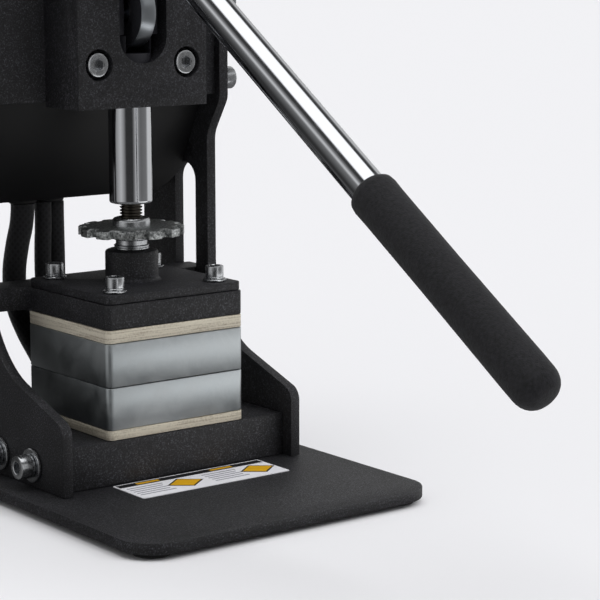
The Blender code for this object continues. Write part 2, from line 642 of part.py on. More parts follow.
def lever():
    """Forked hub on the pivot pin, with the lever bar in its socket and a foam grip."""
    tear = [(y, 2 * PIVOT - z) for y, z in
            reversed(tear_outline(PIVOT, HUB_RADIUS, PIVOT + CRANK_RADIUS, HUB_LOBE_RADIUS))]
    hub = make("lever_hub", prism("X", -HUB_HALF_WIDTH, HUB_HALF_WIDTH, tear), "powder coat",
               PIVOT_POINT)
    socket = [(SOCKET_RADIUS, 8 * MM), (SOCKET_RADIUS, SOCKET_LENGTH)]
    boolean(hub, aim(turned(socket, 28), LEVER_DIRECTION, PIVOT_POINT), "UNION")
    fork_half = LINK_THICKNESS / 2 + RUNNING
    fork = rectangle(-14 * MM, HUB_RADIUS + 2 * MM, PIVOT - 40 * MM, PIVOT + 7 * MM)
    boolean(hub, prism("X", -fork_half, fork_half, fork))
    span = HUB_HALF_WIDTH + 2 * MM
    for height, radius in ((PIVOT, PIVOT_RADIUS), (CRANK_PIN, CRANK_PIN_RADIUS)):
        cutter = turned([(radius + GAP, -span), (radius + GAP, span)], 20)
        boolean(hub, aim(cutter, (1, 0, 0), (0, 0, height)))
    seat = PIVOT_POINT + LEVER_DIRECTION * SOCKET_LENGTH
    bore(hub, seat, -LEVER_DIRECTION, BAR_RADIUS + GAP, SOCKET_LENGTH - BAR_START + GAP, 28)
    bar = turned([(BAR_RADIUS, BAR_START), (BAR_RADIUS, LEVER_LENGTH - 12 * MM)], 28)
    make("lever_bar", aim(bar, LEVER_DIRECTION, PIVOT_POINT), "chrome", PIVOT_POINT)
    grip()
    pin = turned([(CRANK_PIN_RADIUS, -HUB_HALF_WIDTH), (CRANK_PIN_RADIUS, HUB_HALF_WIDTH)], 20)
    make("crank_pin", aim(pin, (1, 0, 0), (0, 0, CRANK_PIN)), "chrome", PIVOT_POINT)


def grip():
    """Foam sleeve with a soft lip at its mouth and a rounded closed end."""
    inside = BAR_RADIUS + GAP
    rings = [(inside, LEVER_LENGTH - 12 * MM + GAP), (inside, GRIP_START),
             (GRIP_RADIUS, GRIP_START), (GRIP_LIP_RADIUS, GRIP_START + 2 * MM),
             (GRIP_LIP_RADIUS, GRIP_START + 5 * MM), (GRIP_RADIUS, GRIP_START + 9 * MM)]
    shoulder = LEVER_LENGTH - 9 * MM
    rings.append((GRIP_RADIUS, shoulder))
    for k in range(1, 4):
        angle = math.radians(80) * k / 3
        rings.append((GRIP_RADIUS - 9 * MM * (1 - math.cos(angle)), shoulder + 9 * MM * math.sin(angle)))
    make("lever_grip", aim(turned(rings, 28), LEVER_DIRECTION, PIVOT_POINT), "rubber", PIVOT_POINT)


def toggle_link():
    """Thick link from the crank pin down to the ram's fork."""
    half = LINK_THICKNESS / 2
    outline = tear_outline(RAM_PIN, LINK_FOOT_RADIUS, CRANK_PIN, LINK_TOP_RADIUS)
    holes = [circle(0, CRANK_PIN, CRANK_PIN_RADIUS + GAP, 20),
             circle(0, RAM_PIN, RAM_PIN_RADIUS + LINK_FOOT_SLACK, 24)]
    make("toggle_link", prism("X", -half, half, outline, holes), "chrome", (0, 0, CRANK_PIN))


def housing_solid(inset, back):
    """Housing's shape: rounded lower corners, and a front that slopes back below the head plate."""
    half = HALF_INNER - GAP - inset
    top = BASE_TOP + HOUSING_TOP - inset
    radius = HOUSING_CORNER - inset
    outline = rounded([(-half, HOUSING_LOW + inset, radius), (half, HOUSING_LOW + inset, radius),
                       (half, top, 0), (-half, top, 0)], 6)
    bm = prism("Y", HOUSING_FRONT + inset, back, outline)
    slope_top = Vector((0, HOUSING_FRONT, BASE_TOP + HOUSING_SLOPE_TOP))
    slope_low = Vector((0, HOUSING_LIP, HOUSING_LOW))
    normal = Vector((1, 0, 0)).cross(slope_low - slope_top).normalized()
    if normal.y > 0:
        normal.negate()
    cut = bmesh.ops.bisect_plane(bm, geom=bm.verts[:] + bm.edges[:] + bm.faces[:], dist=1e-7,
                                 plane_co=slope_top - normal * inset, plane_no=normal, clear_outer=True)
    edges = [item for item in cut["geom_cut"] if isinstance(item, bmesh.types.BMEdge)]
    bmesh.ops.contextual_create(bm, geom=edges)
    return bm


def panel_place(x, height):
    """Point on the outside of the rear cover."""
    return Vector((x, COVER_BACK, BASE_TOP + height))


def panel_piece(name, x, height, width, tall, proud, finish):
    """Rectangular fitting that passes through the rear cover; returns the cover's hole for it."""
    centre = panel_place(x, height)
    outline = rectangle(x - width / 2, x + width / 2, centre.z - tall / 2, centre.z + tall / 2, 1.5 * MM)
    solid = prism("Y", COVER_FRONT - CONTROL_DEPTH, COVER_BACK + proud, outline)
    make(name, solid, finish)
    return rectangle(x - width / 2 - GAP, x + width / 2 + GAP, centre.z - tall / 2 - GAP,
                     centre.z + tall / 2 + GAP, 1.5 * MM)


def controls():
    """Housing for the temperature controller, with its rear cover and fittings."""
    shell = make("control_housing", housing_solid(0, HOUSING_BACK), "black plastic")
    boolean(shell, housing_solid(HOUSING_WALL, HOUSING_BACK + 2 * MM))
    half = HALF_INNER - GAP
    corner = HOUSING_CORNER
    outline = rounded([(-half, HOUSING_LOW, corner), (half, HOUSING_LOW, corner),
                       (half, BASE_TOP + HOUSING_TOP, 0), (-half, BASE_TOP + HOUSING_TOP, 0)], 6)
    holes = [panel_piece("display_window", 0, DISPLAY_CENTRE, DISPLAY_WIDTH, DISPLAY_HEIGHT, 0.8 * MM,
                         "dark glass"),
             panel_piece("power_inlet", INLET_X, SOCKET_ROW, INLET_WIDTH, INLET_HEIGHT, 1.5 * MM,
                         "black plastic")]
    pivot = panel_place(SWITCH_X, SOCKET_ROW)
    holes.append(rocker(pivot))
    for label, side in (("up", 1), ("down", -1)):
        name = f"temperature_{label}_button"
        x = side * BUTTON_PITCH / 2
        centre = panel_place(x, BUTTON_CENTRE)
        rings = [(BUTTON_RADIUS, -COVER_THICKNESS - CONTROL_DEPTH / 2),
                 (BUTTON_RADIUS, BUTTON_PROUD - 0.6 * MM),
                 (BUTTON_RADIUS - 0.6 * MM, BUTTON_PROUD)]
        make(name, aim(turned(rings, 20), (0, 1, 0), centre), "black plastic", centre)
        holes.append(circle(x, centre.z, BUTTON_RADIUS + RUNNING, 20))
    make("control_cover", prism("Y", COVER_FRONT, COVER_BACK, outline, holes), "powder coat")
    return shell


def rocker(pivot):
    """Rocker switch: a shallow vee that tips about a pivot in the cover."""
    half = SWITCH_HEIGHT / 2
    crown = [(COVER_BACK + SWITCH_PROUD + 1.8 * MM, pivot.z + half), (COVER_BACK + SWITCH_PROUD, pivot.z),
             (COVER_BACK + SWITCH_PROUD, pivot.z - half), (COVER_BACK - 1.5 * MM, pivot.z - half * 0.86),
             (COVER_BACK - 3 * MM, pivot.z), (COVER_BACK - 1.5 * MM, pivot.z + half * 0.86)]
    solid = prism("X", pivot.x - SWITCH_WIDTH / 2, pivot.x + SWITCH_WIDTH / 2, crown)
    make("power_switch", solid, "black plastic", pivot)
    room = RUNNING + 1 * MM
    return rectangle(pivot.x - SWITCH_WIDTH / 2 - RUNNING, pivot.x + SWITCH_WIDTH / 2 + RUNNING,
                     pivot.z - half - room, pivot.z + half + room, 1 * MM)


def gland(housing, name, x):
    """Cable gland in the housing's underside."""
    low = HOUSING_LOW - GAP
    rings = [(GLAND_RADIUS * 0.86, low - GLAND_GRIP), (GLAND_RADIUS, low - GLAND_GRIP * 0.6),
             (GLAND_RADIUS, low), (GLAND_SPIGOT, low), (GLAND_SPIGOT, low + 8 * MM)]
    make(name, aim(turned(rings, 18), (0, 0, 1), (x, LEAD_BACK, 0)), "black plastic")
    bore(housing, (x, LEAD_BACK, HOUSING_LOW), (0, 0, 1), GLAND_SPIGOT + GAP, 5 * MM, 18)


def lead(name, radius, route):
    """Sleeved heater lead: a round tube along a smooth curve through its route."""
    ends = [route[0] * 2 - route[1], *route, route[-1] * 2 - route[-2]]
    points = []
    for p0, p1, p2, p3 in zip(ends, ends[1:], ends[2:], ends[3:]):
        for k in range(LEAD_STEPS):
            t = k / LEAD_STEPS
            points.append(0.5 * (2 * p1 + (p2 - p0) * t + (2 * p0 - 5 * p1 + 4 * p2 - p3) * t ** 2
                                 + (3 * p1 - p0 - 3 * p2 + p3) * t ** 3))
    points.append(route[-1])
    curve = bpy.data.curves.new(name, "CURVE")
    curve.dimensions = "3D"
    curve.bevel_depth = radius
    curve.bevel_resolution = 3
    curve.use_fill_caps = True
    spline = curve.splines.new("POLY")
    spline.points.add(len(points) - 1)
    for spot, point in zip(spline.points, points):
        spot.co = (*point, 1)
    curve.materials.append(finish_material(name, "rubber"))
    bpy.context.scene.collection.objects.link(bpy.data.objects.new(name, curve))


def leads(housing):
    """The two heater leads, from their glands to the heaters in the platens' backs."""
    gland(housing, "upper_cable_gland", UPPER_LEAD_X)
    gland(housing, "lower_cable_gland", LOWER_LEAD_TOP_X)
    start = HOUSING_LOW - 2 * GAP - GLAND_GRIP
    end = HEATER_END + GAP
    upper = [(UPPER_LEAD_X, LEAD_BACK, start), (UPPER_LEAD_X, LEAD_BACK, 0.128),
             (UPPER_LEAD_X, LEAD_BACK, 0.110), (UPPER_LEAD_X, LEAD_BACK, 0.094),
             (UPPER_LEAD_X, 0.0700, 0.0835), (UPPER_LEAD_X, 0.0632, 0.0768),
             (UPPER_LEAD_X, 0.0535, UPPER_HEATER), (UPPER_LEAD_X, end, UPPER_HEATER)]
    lower = [(LOWER_LEAD_TOP_X, LEAD_BACK, start), (LOWER_LEAD_TOP_X, LEAD_BACK, start - 3 * MM),
             (-0.0278, 0.0722, 0.137),
             (-0.0305, 0.0730, 0.124), (-0.0320, 0.0745, 0.107), (-0.0300, 0.0750, 0.090),
             (-0.0250, 0.0740, 0.0755), (-0.0200, 0.0705, 0.0630), (-0.0178, 0.0635, 0.0540),
             (LOWER_LEAD_X, 0.0540, LOWER_HEATER), (LOWER_LEAD_X, end, LOWER_HEATER)]
    lead("upper_heater_lead", UPPER_LEAD_RADIUS, [Vector(point) for point in upper])
    lead("lower_heater_lead", LOWER_LEAD_RADIUS, [Vector(point) for point in lower])


def caution_label():
    """Printed label stuck on the base plate in front of the platform."""
    outline = rectangle(LABEL_X - LABEL_WIDTH / 2, LABEL_X + LABEL_WIDTH / 2,
                        LABEL_Y - LABEL_DEPTH / 2, LABEL_Y + LABEL_DEPTH / 2, 0.8 * MM)
    low = BASE_TOP + GAP
    make("caution_label", prism("Z", low, low + LABEL_THICKNESS, outline), "label")


def centre_on_origin():
    """Hang every object on an empty that puts the middle of the press's footprint at the origin."""
    depsgraph = bpy.context.evaluated_depsgraph_get()
    reaches = []
    for obj in bpy.context.scene.objects:
        if obj.hide_render:
            continue
        solid = obj.evaluated_get(depsgraph)
        reaches += [(obj.matrix_world @ vert.co).y for vert in solid.to_mesh().vertices]
        solid.to_mesh_clear()
    frame = bpy.data.objects.new("press_frame", None)
    pieces = list(bpy.context.scene.objects)
    bpy.context.scene.collection.objects.link(frame)
    for obj in pieces:
        obj.parent = frame
    frame.location.y = -(min(reaches) + max(reaches)) / 2


for old in list(bpy.data.objects):
    bpy.data.objects.remove(old, do_unlink=True)
base_and_feet()
side_plates()
platform()
platens_and_boards()
carriage()
adjuster()
ram()
head()
lever()
toggle_link()
leads(controls())
caution_label()
centre_on_origin()
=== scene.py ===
"""Looks of the tabletop lever press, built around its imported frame. Metres, +Z up, operator at -Y."""
import math

import bmesh
import bpy
from mathutils import Matrix, Vector


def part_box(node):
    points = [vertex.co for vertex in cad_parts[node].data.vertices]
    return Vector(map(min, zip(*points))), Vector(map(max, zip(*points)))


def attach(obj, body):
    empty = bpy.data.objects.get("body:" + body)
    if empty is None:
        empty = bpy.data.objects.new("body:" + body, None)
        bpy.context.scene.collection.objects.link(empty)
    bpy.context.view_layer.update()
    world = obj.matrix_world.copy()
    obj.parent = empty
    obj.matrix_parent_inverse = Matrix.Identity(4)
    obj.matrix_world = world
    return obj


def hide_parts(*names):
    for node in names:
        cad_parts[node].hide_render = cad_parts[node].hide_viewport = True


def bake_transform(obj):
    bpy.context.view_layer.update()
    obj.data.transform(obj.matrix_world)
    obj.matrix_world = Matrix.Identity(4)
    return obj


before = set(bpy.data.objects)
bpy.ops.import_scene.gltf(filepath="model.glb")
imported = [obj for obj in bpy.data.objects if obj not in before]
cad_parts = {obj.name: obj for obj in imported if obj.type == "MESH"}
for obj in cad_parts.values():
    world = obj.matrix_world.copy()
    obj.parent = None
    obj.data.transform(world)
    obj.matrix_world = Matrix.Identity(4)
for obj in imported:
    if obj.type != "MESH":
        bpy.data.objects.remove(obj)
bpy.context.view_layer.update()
MM = 0.001

# ---- Camera, floor and light -------------------------------------------------------------
# A long lens from the operator's left, a little above the platens. The press stands on a
# seamless pale sheet under three large soft lamps, with dark flags for the bright metal.
RAM_LOW, RAM_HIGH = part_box("ram")
RAM_Y = (RAM_LOW.y + RAM_HIGH.y) / 2
CAMERA_AZIMUTH = math.radians(-37.7)
CAMERA_ELEVATION = math.radians(9.69)
CAMERA_DISTANCE = 1.1367
SIDEWAYS = Vector((math.cos(CAMERA_AZIMUTH), math.sin(CAMERA_AZIMUTH), 0))
AIM = SIDEWAYS * 93.2 * MM + Vector((0, RAM_Y, 99.4 * MM))
BACKWARD = Vector((math.sin(CAMERA_AZIMUTH) * math.cos(CAMERA_ELEVATION),
                   -math.cos(CAMERA_AZIMUTH) * math.cos(CAMERA_ELEVATION),
                   math.sin(CAMERA_ELEVATION)))


def shown(obj):
    """Put a new object in the scene."""
    bpy.context.scene.collection.objects.link(obj)
    return obj


def facing(obj, spot, target):
    """Stand a camera or lamp at a spot, looking at a target."""
    obj.location = spot
    obj.rotation_euler = (Vector(target) - Vector(spot)).to_track_quat("-Z", "Y").to_euler()


camera = shown(bpy.data.objects.new("camera", bpy.data.cameras.new("camera")))
camera.data.lens = 122.7
camera.data.sensor_width = 36
camera.data.clip_end = 20
facing(camera, AIM + BACKWARD * CAMERA_DISTANCE, AIM)
bpy.context.scene.camera = camera


def hex_colour(code):
    """Linear colour, with alpha, of an sRGB hex value."""
    channels = [int(code[k:k + 2], 16) / 255 for k in (1, 3, 5)]
    linear = [c / 12.92 if c <= 0.04045 else ((c + 0.055) / 1.055) ** 2.4 for c in channels]
    return (*linear, 1.0)


def node(material, kind, inputs=None, **settings):
    """Add one node with its settings; an input is a value, or the output that feeds it."""
    new = material.node_tree.nodes.new(kind)
    for key, value in settings.items():
        setattr(new, key, value)
    for key, value in (inputs or {}).items():
        if isinstance(value, bpy.types.NodeSocket):
            material.node_tree.links.new(value, new.inputs[key])
        else:
            new.inputs[key].default_value = value
    return new


def colour_ramp(material, value, stops):
    """Ramp node through (place, linear colour or grey level) stops, fed by a value."""
    new = node(material, "ShaderNodeValToRGB", {"Fac": value})
    elements = new.color_ramp.elements
    elements.remove(elements[1])
    elements[0].position = stops[0][0]
    for place, _ in stops[1:]:
        elements.new(place)
    for element, (_, colour) in zip(elements, stops):
        element.color = colour if isinstance(colour, tuple) else (colour, colour, colour, 1)
    return new.outputs["Color"]


def new_material(name, colour, metallic=0.0, roughness=0.5, **sockets):
    """Material with its even values set on the shader itself."""
    material = bpy.data.materials.new(name)
    material.use_nodes = True
    shader = material.node_tree.nodes["Principled BSDF"]
    shader.inputs["Base Color"].default_value = hex_colour(colour)
    shader.inputs["Metallic"].default_value = metallic
    shader.inputs["Roughness"].default_value = roughness
    for socket, value in sockets.items():
        shader.inputs[socket.replace("_", " ")].default_value = value
    return material


# The sheet is wide enough to hide its own horizon, and it is left out of reflections, where
# the studio's bright and dark sides shape the metal instead.
paper = new_material("matt white paper sweep", "#ebebee", roughness=0.9, Specular_IOR_Level=0.0)
sweep = bmesh.new()
bmesh.ops.create_grid(sweep, x_segments=1, y_segments=1, size=80)
sweep_mesh = bpy.data.meshes.new("paper_sweep")
sweep.to_mesh(sweep_mesh)
sweep.free()
sweep_mesh.materials.append(paper)
floor = shown(bpy.data.objects.new("paper_sweep", sweep_mesh))
floor.visible_glossy = False


def studio():
    """Surroundings: a turn of bright and dark panels, a bright ceiling and a dim floor."""
    world = bpy.data.worlds.new("studio")
    world.use_nodes = True
    place = node(world, "ShaderNodeTexCoord").outputs["Generated"]
    turned_place = node(world, "ShaderNodeMapping", {"Vector": place, "Rotation": (0, 0, math.radians(127.7))})
    around = node(world, "ShaderNodeTexGradient", {"Vector": turned_place.outputs[0]}, gradient_type="RADIAL")
    stops = [(-179, 0.30), (-160, 0.06), (-140, 0.03), (-104, 0.04), (-96, 0.10), (-80, 0.25), (-47, 0.62), (-28, 0.30),
             (-17, 0.04), (17, 0.04), (28, 0.30), (39, 0.95), (50, 0.25), (62, 0.16), (98, 0.22), (112, 0.75),
             (140, 0.70), (160, 0.75), (178, 0.40)]
    panels = colour_ramp(world, around.outputs["Fac"], [(0.5 + turn / 360, level) for turn, level in stops])
    height = node(world, "ShaderNodeSeparateXYZ", {"Vector": place}).outputs["Z"]
    share = node(world, "ShaderNodeMapRange", {"Value": height, "From Min": -1.0, "From Max": 1.0})
    rows = colour_ramp(world, share.outputs["Result"], [(0.32, 0.0), (0.4, 1.0), (0.62, 1.0), (0.7, 0.0)])
    caps = colour_ramp(world, share.outputs["Result"], [(0.4, 0.16), (0.65, 0.20), (0.73, 0.80), (0.8, 0.25),
                                                            (0.86, 0.05), (0.92, 0.06), (0.945, 1.6)])
    both = node(world, "ShaderNodeMix", data_type="RGBA")
    for socket, source in ((0, rows), (6, caps), (7, panels)):
        world.node_tree.links.new(source, both.inputs[socket])
    world.node_tree.links.new(both.outputs[2], world.node_tree.nodes["Background"].inputs["Color"])
    return world


bpy.context.scene.world = studio()
bpy.context.scene.view_settings.view_transform = "Standard"


def far_softbox(name, direction, spread, strength):
    """Wide lamp too far away to fade across the sheet; spread is its width in degrees."""
    lamp = bpy.data.lights.new(name, "SUN")
    lamp.angle = math.radians(spread)
    lamp.energy = strength
    softbox = shown(bpy.data.objects.new(name, lamp))
    softbox.visible_glossy = False
    facing(softbox, Vector(direction), (0, 0, 0))


far_softbox("key_softbox", (1.0, -1.35, 1.5), 35, 1.5)
far_softbox("top_softbox", (-0.1, -0.1, 1.0), 90, 0.45)

# A low card that only metal and gloss can see brightens the faces turned to its side.
card = bpy.data.lights.new("low_card", "AREA")
card.shape = "RECTANGLE"
card.size, card.size_y = 0.3, 0.09
card.energy = 0.1
low_card = shown(bpy.data.objects.new("low_card", card))
low_card.visible_camera = low_card.visible_diffuse = False
facing(low_card, (0.16, RAM_Y - 0.21, 0.05), (0, RAM_Y, 0.065))


# ---- Base plate, feet and label ----------------------------------------------------------
# Laser-cut 6 mm steel with rounded corners, powder-coated black like the rest of the frame.
# It stands on four rubber feet. A printed film label lies in front of the platform.
SIDES = {"X": lambda a, b, c: (c, a, b), "Y": lambda a, b, c: (a, c, b), "Z": lambda a, b, c: (a, b, c)}
SHARP = math.radians(38)


def powder_coat():
    """Black polyester powder coat, fine texture: a grain that sparkles where light grazes it.

    Real grains are 0.3 mm; they are drawn 0.8 mm wide so that they show."""
    material = new_material("black textured powder coat", "#1e1e21", roughness=0.58, Specular_IOR_Level=0.45)
    shader = material.node_tree.nodes["Principled BSDF"]
    place = node(material, "ShaderNodeTexCoord").outputs["Object"]
    grain = node(material, "ShaderNodeTexNoise", {"Vector": place, "Scale": 1250.0, "Detail": 3.0,
                                                  "Roughness": 0.65})
    cloud = node(material, "ShaderNodeTexNoise", {"Vector": place, "Scale": 45.0, "Detail": 3.0})
    mixed = node(material, "ShaderNodeMath", {0: cloud.outputs["Fac"], 1: 0.15, 2: grain.outputs["Fac"]},
                 operation="MULTIPLY_ADD")
    tint = colour_ramp(material, mixed.outputs[0],
                       [(0.48, hex_colour("#161618")), (0.62, hex_colour("#1d1d20")), (0.8, hex_colour("#4c4c52"))])
    gloss = node(material, "ShaderNodeMapRange", {"Value": grain.outputs["Fac"], "From Min": 0.3,
                                                  "From Max": 0.7, "To Min": 0.66, "To Max": 0.44})
    bump = node(material, "ShaderNodeBump", {"Height": grain.outputs["Fac"], "Strength": 0.6,
                                             "Distance": 0.25 * MM})
    links = material.node_tree.links
    links.new(tint, shader.inputs["Base Color"])
    links.new(gloss.outputs["Result"], shader.inputs["Roughness"])
    links.new(bump.outputs["Normal"], shader.inputs["Normal"])
    return material


BLACK_COAT = powder_coat()


def break_edges(bm, width, segments=2):
    """Round every sharp edge of a solid by a small radius."""
    sharp = [edge for edge in bm.edges if len(edge.link_faces) == 2 and edge.calc_face_angle() > SHARP]
    bmesh.ops.bevel(bm, geom=sharp, offset=width, segments=segments, profile=0.5, affect="EDGES",
                    clamp_overlap=True, material=-1)
    return bm


def sheet(axis, low, high, corners, edge=0.5 * MM):
    """Plate along an axis from corners (a, b, radius), with every cut edge broken."""
    bm = bmesh.new()
    verts = [bm.verts.new(SIDES[axis](a, b, low)) for a, b, _ in corners]
    far = bmesh.ops.extrude_face_region(bm, geom=[bm.faces.new(verts)])["geom"]
    bmesh.ops.translate(bm, verts=[v for v in far if isinstance(v, bmesh.types.BMVert)],
                        vec=SIDES[axis](0, 0, high - low))
    along = Vector(SIDES[axis](0, 0, 1))
    for k, (a, b, radius) in enumerate(corners):
        if not radius:
            continue
        before = Vector(corners[k - 1][:2]) - Vector((a, b))
        after = Vector(corners[(k + 1) % len(corners)][:2]) - Vector((a, b))
        reach = radius / math.tan(before.angle(after) / 2)
        corner = [e for e in verts[k].link_edges
                  if abs((e.verts[0].co - e.verts[1].co).normalized().dot(along)) > 0.999]
        bmesh.ops.bevel(bm, geom=corner, offset=reach, segments=max(6, int(radius / MM)), profile=0.5,
                        affect="EDGES", clamp_overlap=False, material=-1)
    bmesh.ops.recalc_face_normals(bm, faces=bm.faces)
    return break_edges(bm, edge) if edge else bm


def plate_corners(low, high, radius, axis="Z"):
    """Four equal corners of the rectangle that two box corners span across an axis."""
    a, b = {"X": (1, 2), "Y": (0, 2), "Z": (0, 1)}[axis]
    return [(low[a], low[b], radius), (high[a], low[b], radius),
            (high[a], high[b], radius), (low[a], high[b], radius)]


def slab(low, high, radius=0.0, edge=0.5 * MM, axis="Z"):
    """Rectangular plate or block between two box corners."""
    k = "XYZ".index(axis)
    return sheet(axis, low[k], high[k], plate_corners(low, high, radius, axis), edge)


def fitted(name, bm, materials, body, slot, *nodes, crease=30):
    """Finish a piece: smooth shading, its material, the body it rides on and what it stands for."""
    mesh = bpy.data.meshes.new(name)
    bm.to_mesh(mesh)
    bm.free()
    mesh.shade_smooth()
    mesh.set_sharp_from_angle(angle=math.radians(crease))
    for material in materials if isinstance(materials, tuple) else (materials,):
        mesh.materials.append(material)
    piece = shown(bpy.data.objects.new(name, mesh))
    if body:
        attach(piece, body)
    if nodes:
        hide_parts(*nodes)
    return piece


def turned(profile, steps=48):
    """Solid of revolution about Z from (radius, height) points; it may close on the axis."""
    bm = bmesh.new()
    verts = [bm.verts.new((radius, 0, height)) for radius, height in profile]
    edges = [bm.edges.new(pair) for pair in zip(verts, verts[1:])]
    if profile[0][0] and profile[-1][0]:
        edges.append(bm.edges.new((verts[-1], verts[0])))
    bmesh.ops.spin(bm, geom=verts + edges, axis=(0, 0, 1), cent=(0, 0, 0), angle=2 * math.pi,
                   steps=steps, use_merge=True)
    bmesh.ops.remove_doubles(bm, verts=bm.verts, dist=1e-6)
    bmesh.ops.recalc_face_normals(bm, faces=bm.faces)
    return bm


def aimed(bm, spot, direction=(0, 0, 1)):
    """Turn a solid made along +Z to a direction, and move it to its spot."""
    turn = Vector((0, 0, 1)).rotation_difference(Vector(direction)).to_matrix().to_4x4()
    bmesh.ops.transform(bm, matrix=Matrix.Translation(Vector(spot)) @ turn, verts=bm.verts)
    return bm


BASE_LOW, BASE_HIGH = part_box("base_plate")
fitted("coated_base_plate", slab(BASE_LOW, BASE_HIGH, 20 * MM, 0.7 * MM), BLACK_COAT, "frame",
       "powder_coat", "base_plate")

FOAM_RUBBER = new_material("moulded black rubber", "#1b1b1c", roughness=0.8)
for end in ("front", "back"):
    for side in ("left", "right"):
        low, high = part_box(f"foot_{end}_{side}")
        radius = (high.x - low.x) / 2
        foot = turned([(0, 0), (radius - 0.6 * MM, 0), (radius, 0.6 * MM), (radius * 0.94, high.z),
                       (radius * 0.3, high.z), (0, high.z)])
        fitted(f"rubber_foot_{end}_{side}", aimed(foot, ((low.x + high.x) / 2, (low.y + high.y) / 2, 0)),
               FOAM_RUBBER, "frame", "black_rubber", f"foot_{end}_{side}")

# The label is white vinyl film: a black band along its back edge, two amber diamonds and
# rows of grey rules where the words of a real one would be.
FILM_WHITE = new_material("white vinyl film", "#e9e9ee", roughness=0.42)
FILM_BLACK = new_material("black print on film", "#17171a", roughness=0.42)
FILM_AMBER = new_material("amber print on film", "#d9a514", roughness=0.42)
FILM_GREY = new_material("grey print on film", "#8f8f9a", roughness=0.42)


def printed(bm, low_x, high_x, low_y, high_y, ink, level):
    """One printed patch, a hair above the film."""
    patch = slab((low_x, low_y, level), (high_x, high_y, level + 0.05 * MM), edge=0)
    for face in patch.faces:
        face.material_index = ink
    mesh = bpy.data.meshes.new("patch")
    patch.to_mesh(mesh)
    patch.free()
    bm.from_mesh(mesh)
    bpy.data.meshes.remove(mesh)


def label():
    """Film with its print."""
    low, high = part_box("caution_label")
    low.z -= 0.25 * MM
    high.z -= 0.3 * MM
    bm = slab(low, high, 0.8 * MM, 0)
    width = high.x - low.x
    top = high.z
    edge = 1.0 * MM
    printed(bm, low.x + edge, high.x - edge, high.y - 6.4 * MM, high.y - edge, 1, top)
    for start in (0.012, 0.513):
        left = low.x + start * width
        block = left + 0.47 * width
        for row in range(5):
            y = high.y - (10 + 3.4 * row) * MM
            right = left + width * (0.23 if row % 2 else 0.25)
            printed(bm, left + 1.5 * MM, right, y - 0.6 * MM, y + 0.6 * MM, 3, top)
        printed(bm, left + 0.12 * width, left + 0.27 * width, high.y - 5 * MM, high.y - 2.4 * MM, 2,
                top + 0.05 * MM)
        centre = Vector((block - 10.5 * MM, high.y - 16.5 * MM, top))
        for ink, reach, lift in ((1, 9.4 * MM, 0), (2, 8 * MM, 0.05 * MM)):
            diamond = bmesh.new()
            bmesh.ops.create_circle(diamond, cap_ends=True, segments=4, radius=reach)
            far = bmesh.ops.extrude_face_region(diamond, geom=diamond.faces[:])["geom"]
            bmesh.ops.translate(diamond, verts=[v for v in far if isinstance(v, bmesh.types.BMVert)],
                                vec=(0, 0, 0.05 * MM))
            bmesh.ops.scale(diamond, vec=(1.25, 0.95, 1), verts=diamond.verts)
            bmesh.ops.translate(diamond, verts=diamond.verts, vec=centre + Vector((0, 0, lift)))
            bmesh.ops.recalc_face_normals(diamond, faces=diamond.faces)
            for face in diamond.faces:
                face.material_index = ink
            mesh = bpy.data.meshes.new("diamond")
            diamond.to_mesh(mesh)
            diamond.free()
            bm.from_mesh(mesh)
            bpy.data.meshes.remove(mesh)
    return bm


fitted("caution_film", label(), (FILM_WHITE, FILM_BLACK, FILM_AMBER, FILM_GREY), "frame",
       "label_film", "caution_label")


# ---- Side plates -------------------------------------------------------------------------
# Two identical 6 mm plates stand on the base: a low sloping foot, a column with a long slot
# that guides the carriage, and a head that comes forward beside the head block.
def carved(bm, *tools):
    """Cut shapes out of a solid."""
    held = []
    for shape in (bm, *tools):
        mesh = bpy.data.meshes.new("held")
        shape.to_mesh(mesh)
        shape.free()
        held.append(shown(bpy.data.objects.new("held", mesh)))
    solid = held[0]
    for tool in held[1:]:
        cut = solid.modifiers.new("cut", "BOOLEAN")
        cut.solver = "EXACT"
        cut.object = tool
    result = bmesh.new()
    result.from_object(solid, bpy.context.evaluated_depsgraph_get())
    for old in held:
        mesh = old.data
        bpy.data.objects.remove(old)
        bpy.data.meshes.remove(mesh)
    bmesh.ops.remove_doubles(result, verts=result.verts, dist=1e-6)
    return result


BASE_TOP = BASE_HIGH.z


def side_plate(low, high):
    """One side plate, with its slot cut and its edges broken."""
    foot_slope = math.tan(math.radians(19))
    column = RAM_Y + 28.7 * MM
    head = RAM_Y + 15.8 * MM
    foot_top = BASE_TOP + 38 * MM
    corners = [(low.y, low.z, 0), (high.y, low.z, 0), (high.y, high.z, 14 * MM),
               (head, high.z, 14 * MM), (head, BASE_TOP + 198 * MM, 8 * MM),
               (column, BASE_TOP + 177.5 * MM, 14 * MM),
               (column, foot_top + (column - low.y) * foot_slope, 53 * MM),
               (low.y, foot_top, 8 * MM)]
    plate = sheet("X", low.x, high.x, corners, 0)
    centre = RAM_Y + 51.5 * MM
    half = 10.5 * MM
    slot = slab((low.x - MM, centre - half, BASE_TOP + 73 * MM),
                (high.x + MM, centre + half, BASE_TOP + 159 * MM), half * 0.999, 0, "X")
    return break_edges(carved(plate, slot), 0.5 * MM)


for side in ("left", "right"):
    fitted(f"coated_{side}_plate", side_plate(*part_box(f"{side}_side_plate")), BLACK_COAT, "frame",
           "powder_coat", f"{side}_side_plate")


# ---- Platform block and side bolts -------------------------------------------------------
# A solid block across the foot, held by M8 socket cap bolts with washers through the plates.
# Bright zinc plate on machined steel: sharp turned rims and slightly soft reflections.
fitted("coated_platform_block", slab(*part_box("platform_block"), edge=0.6 * MM), BLACK_COAT, "frame",
       "powder_coat", "platform_block")


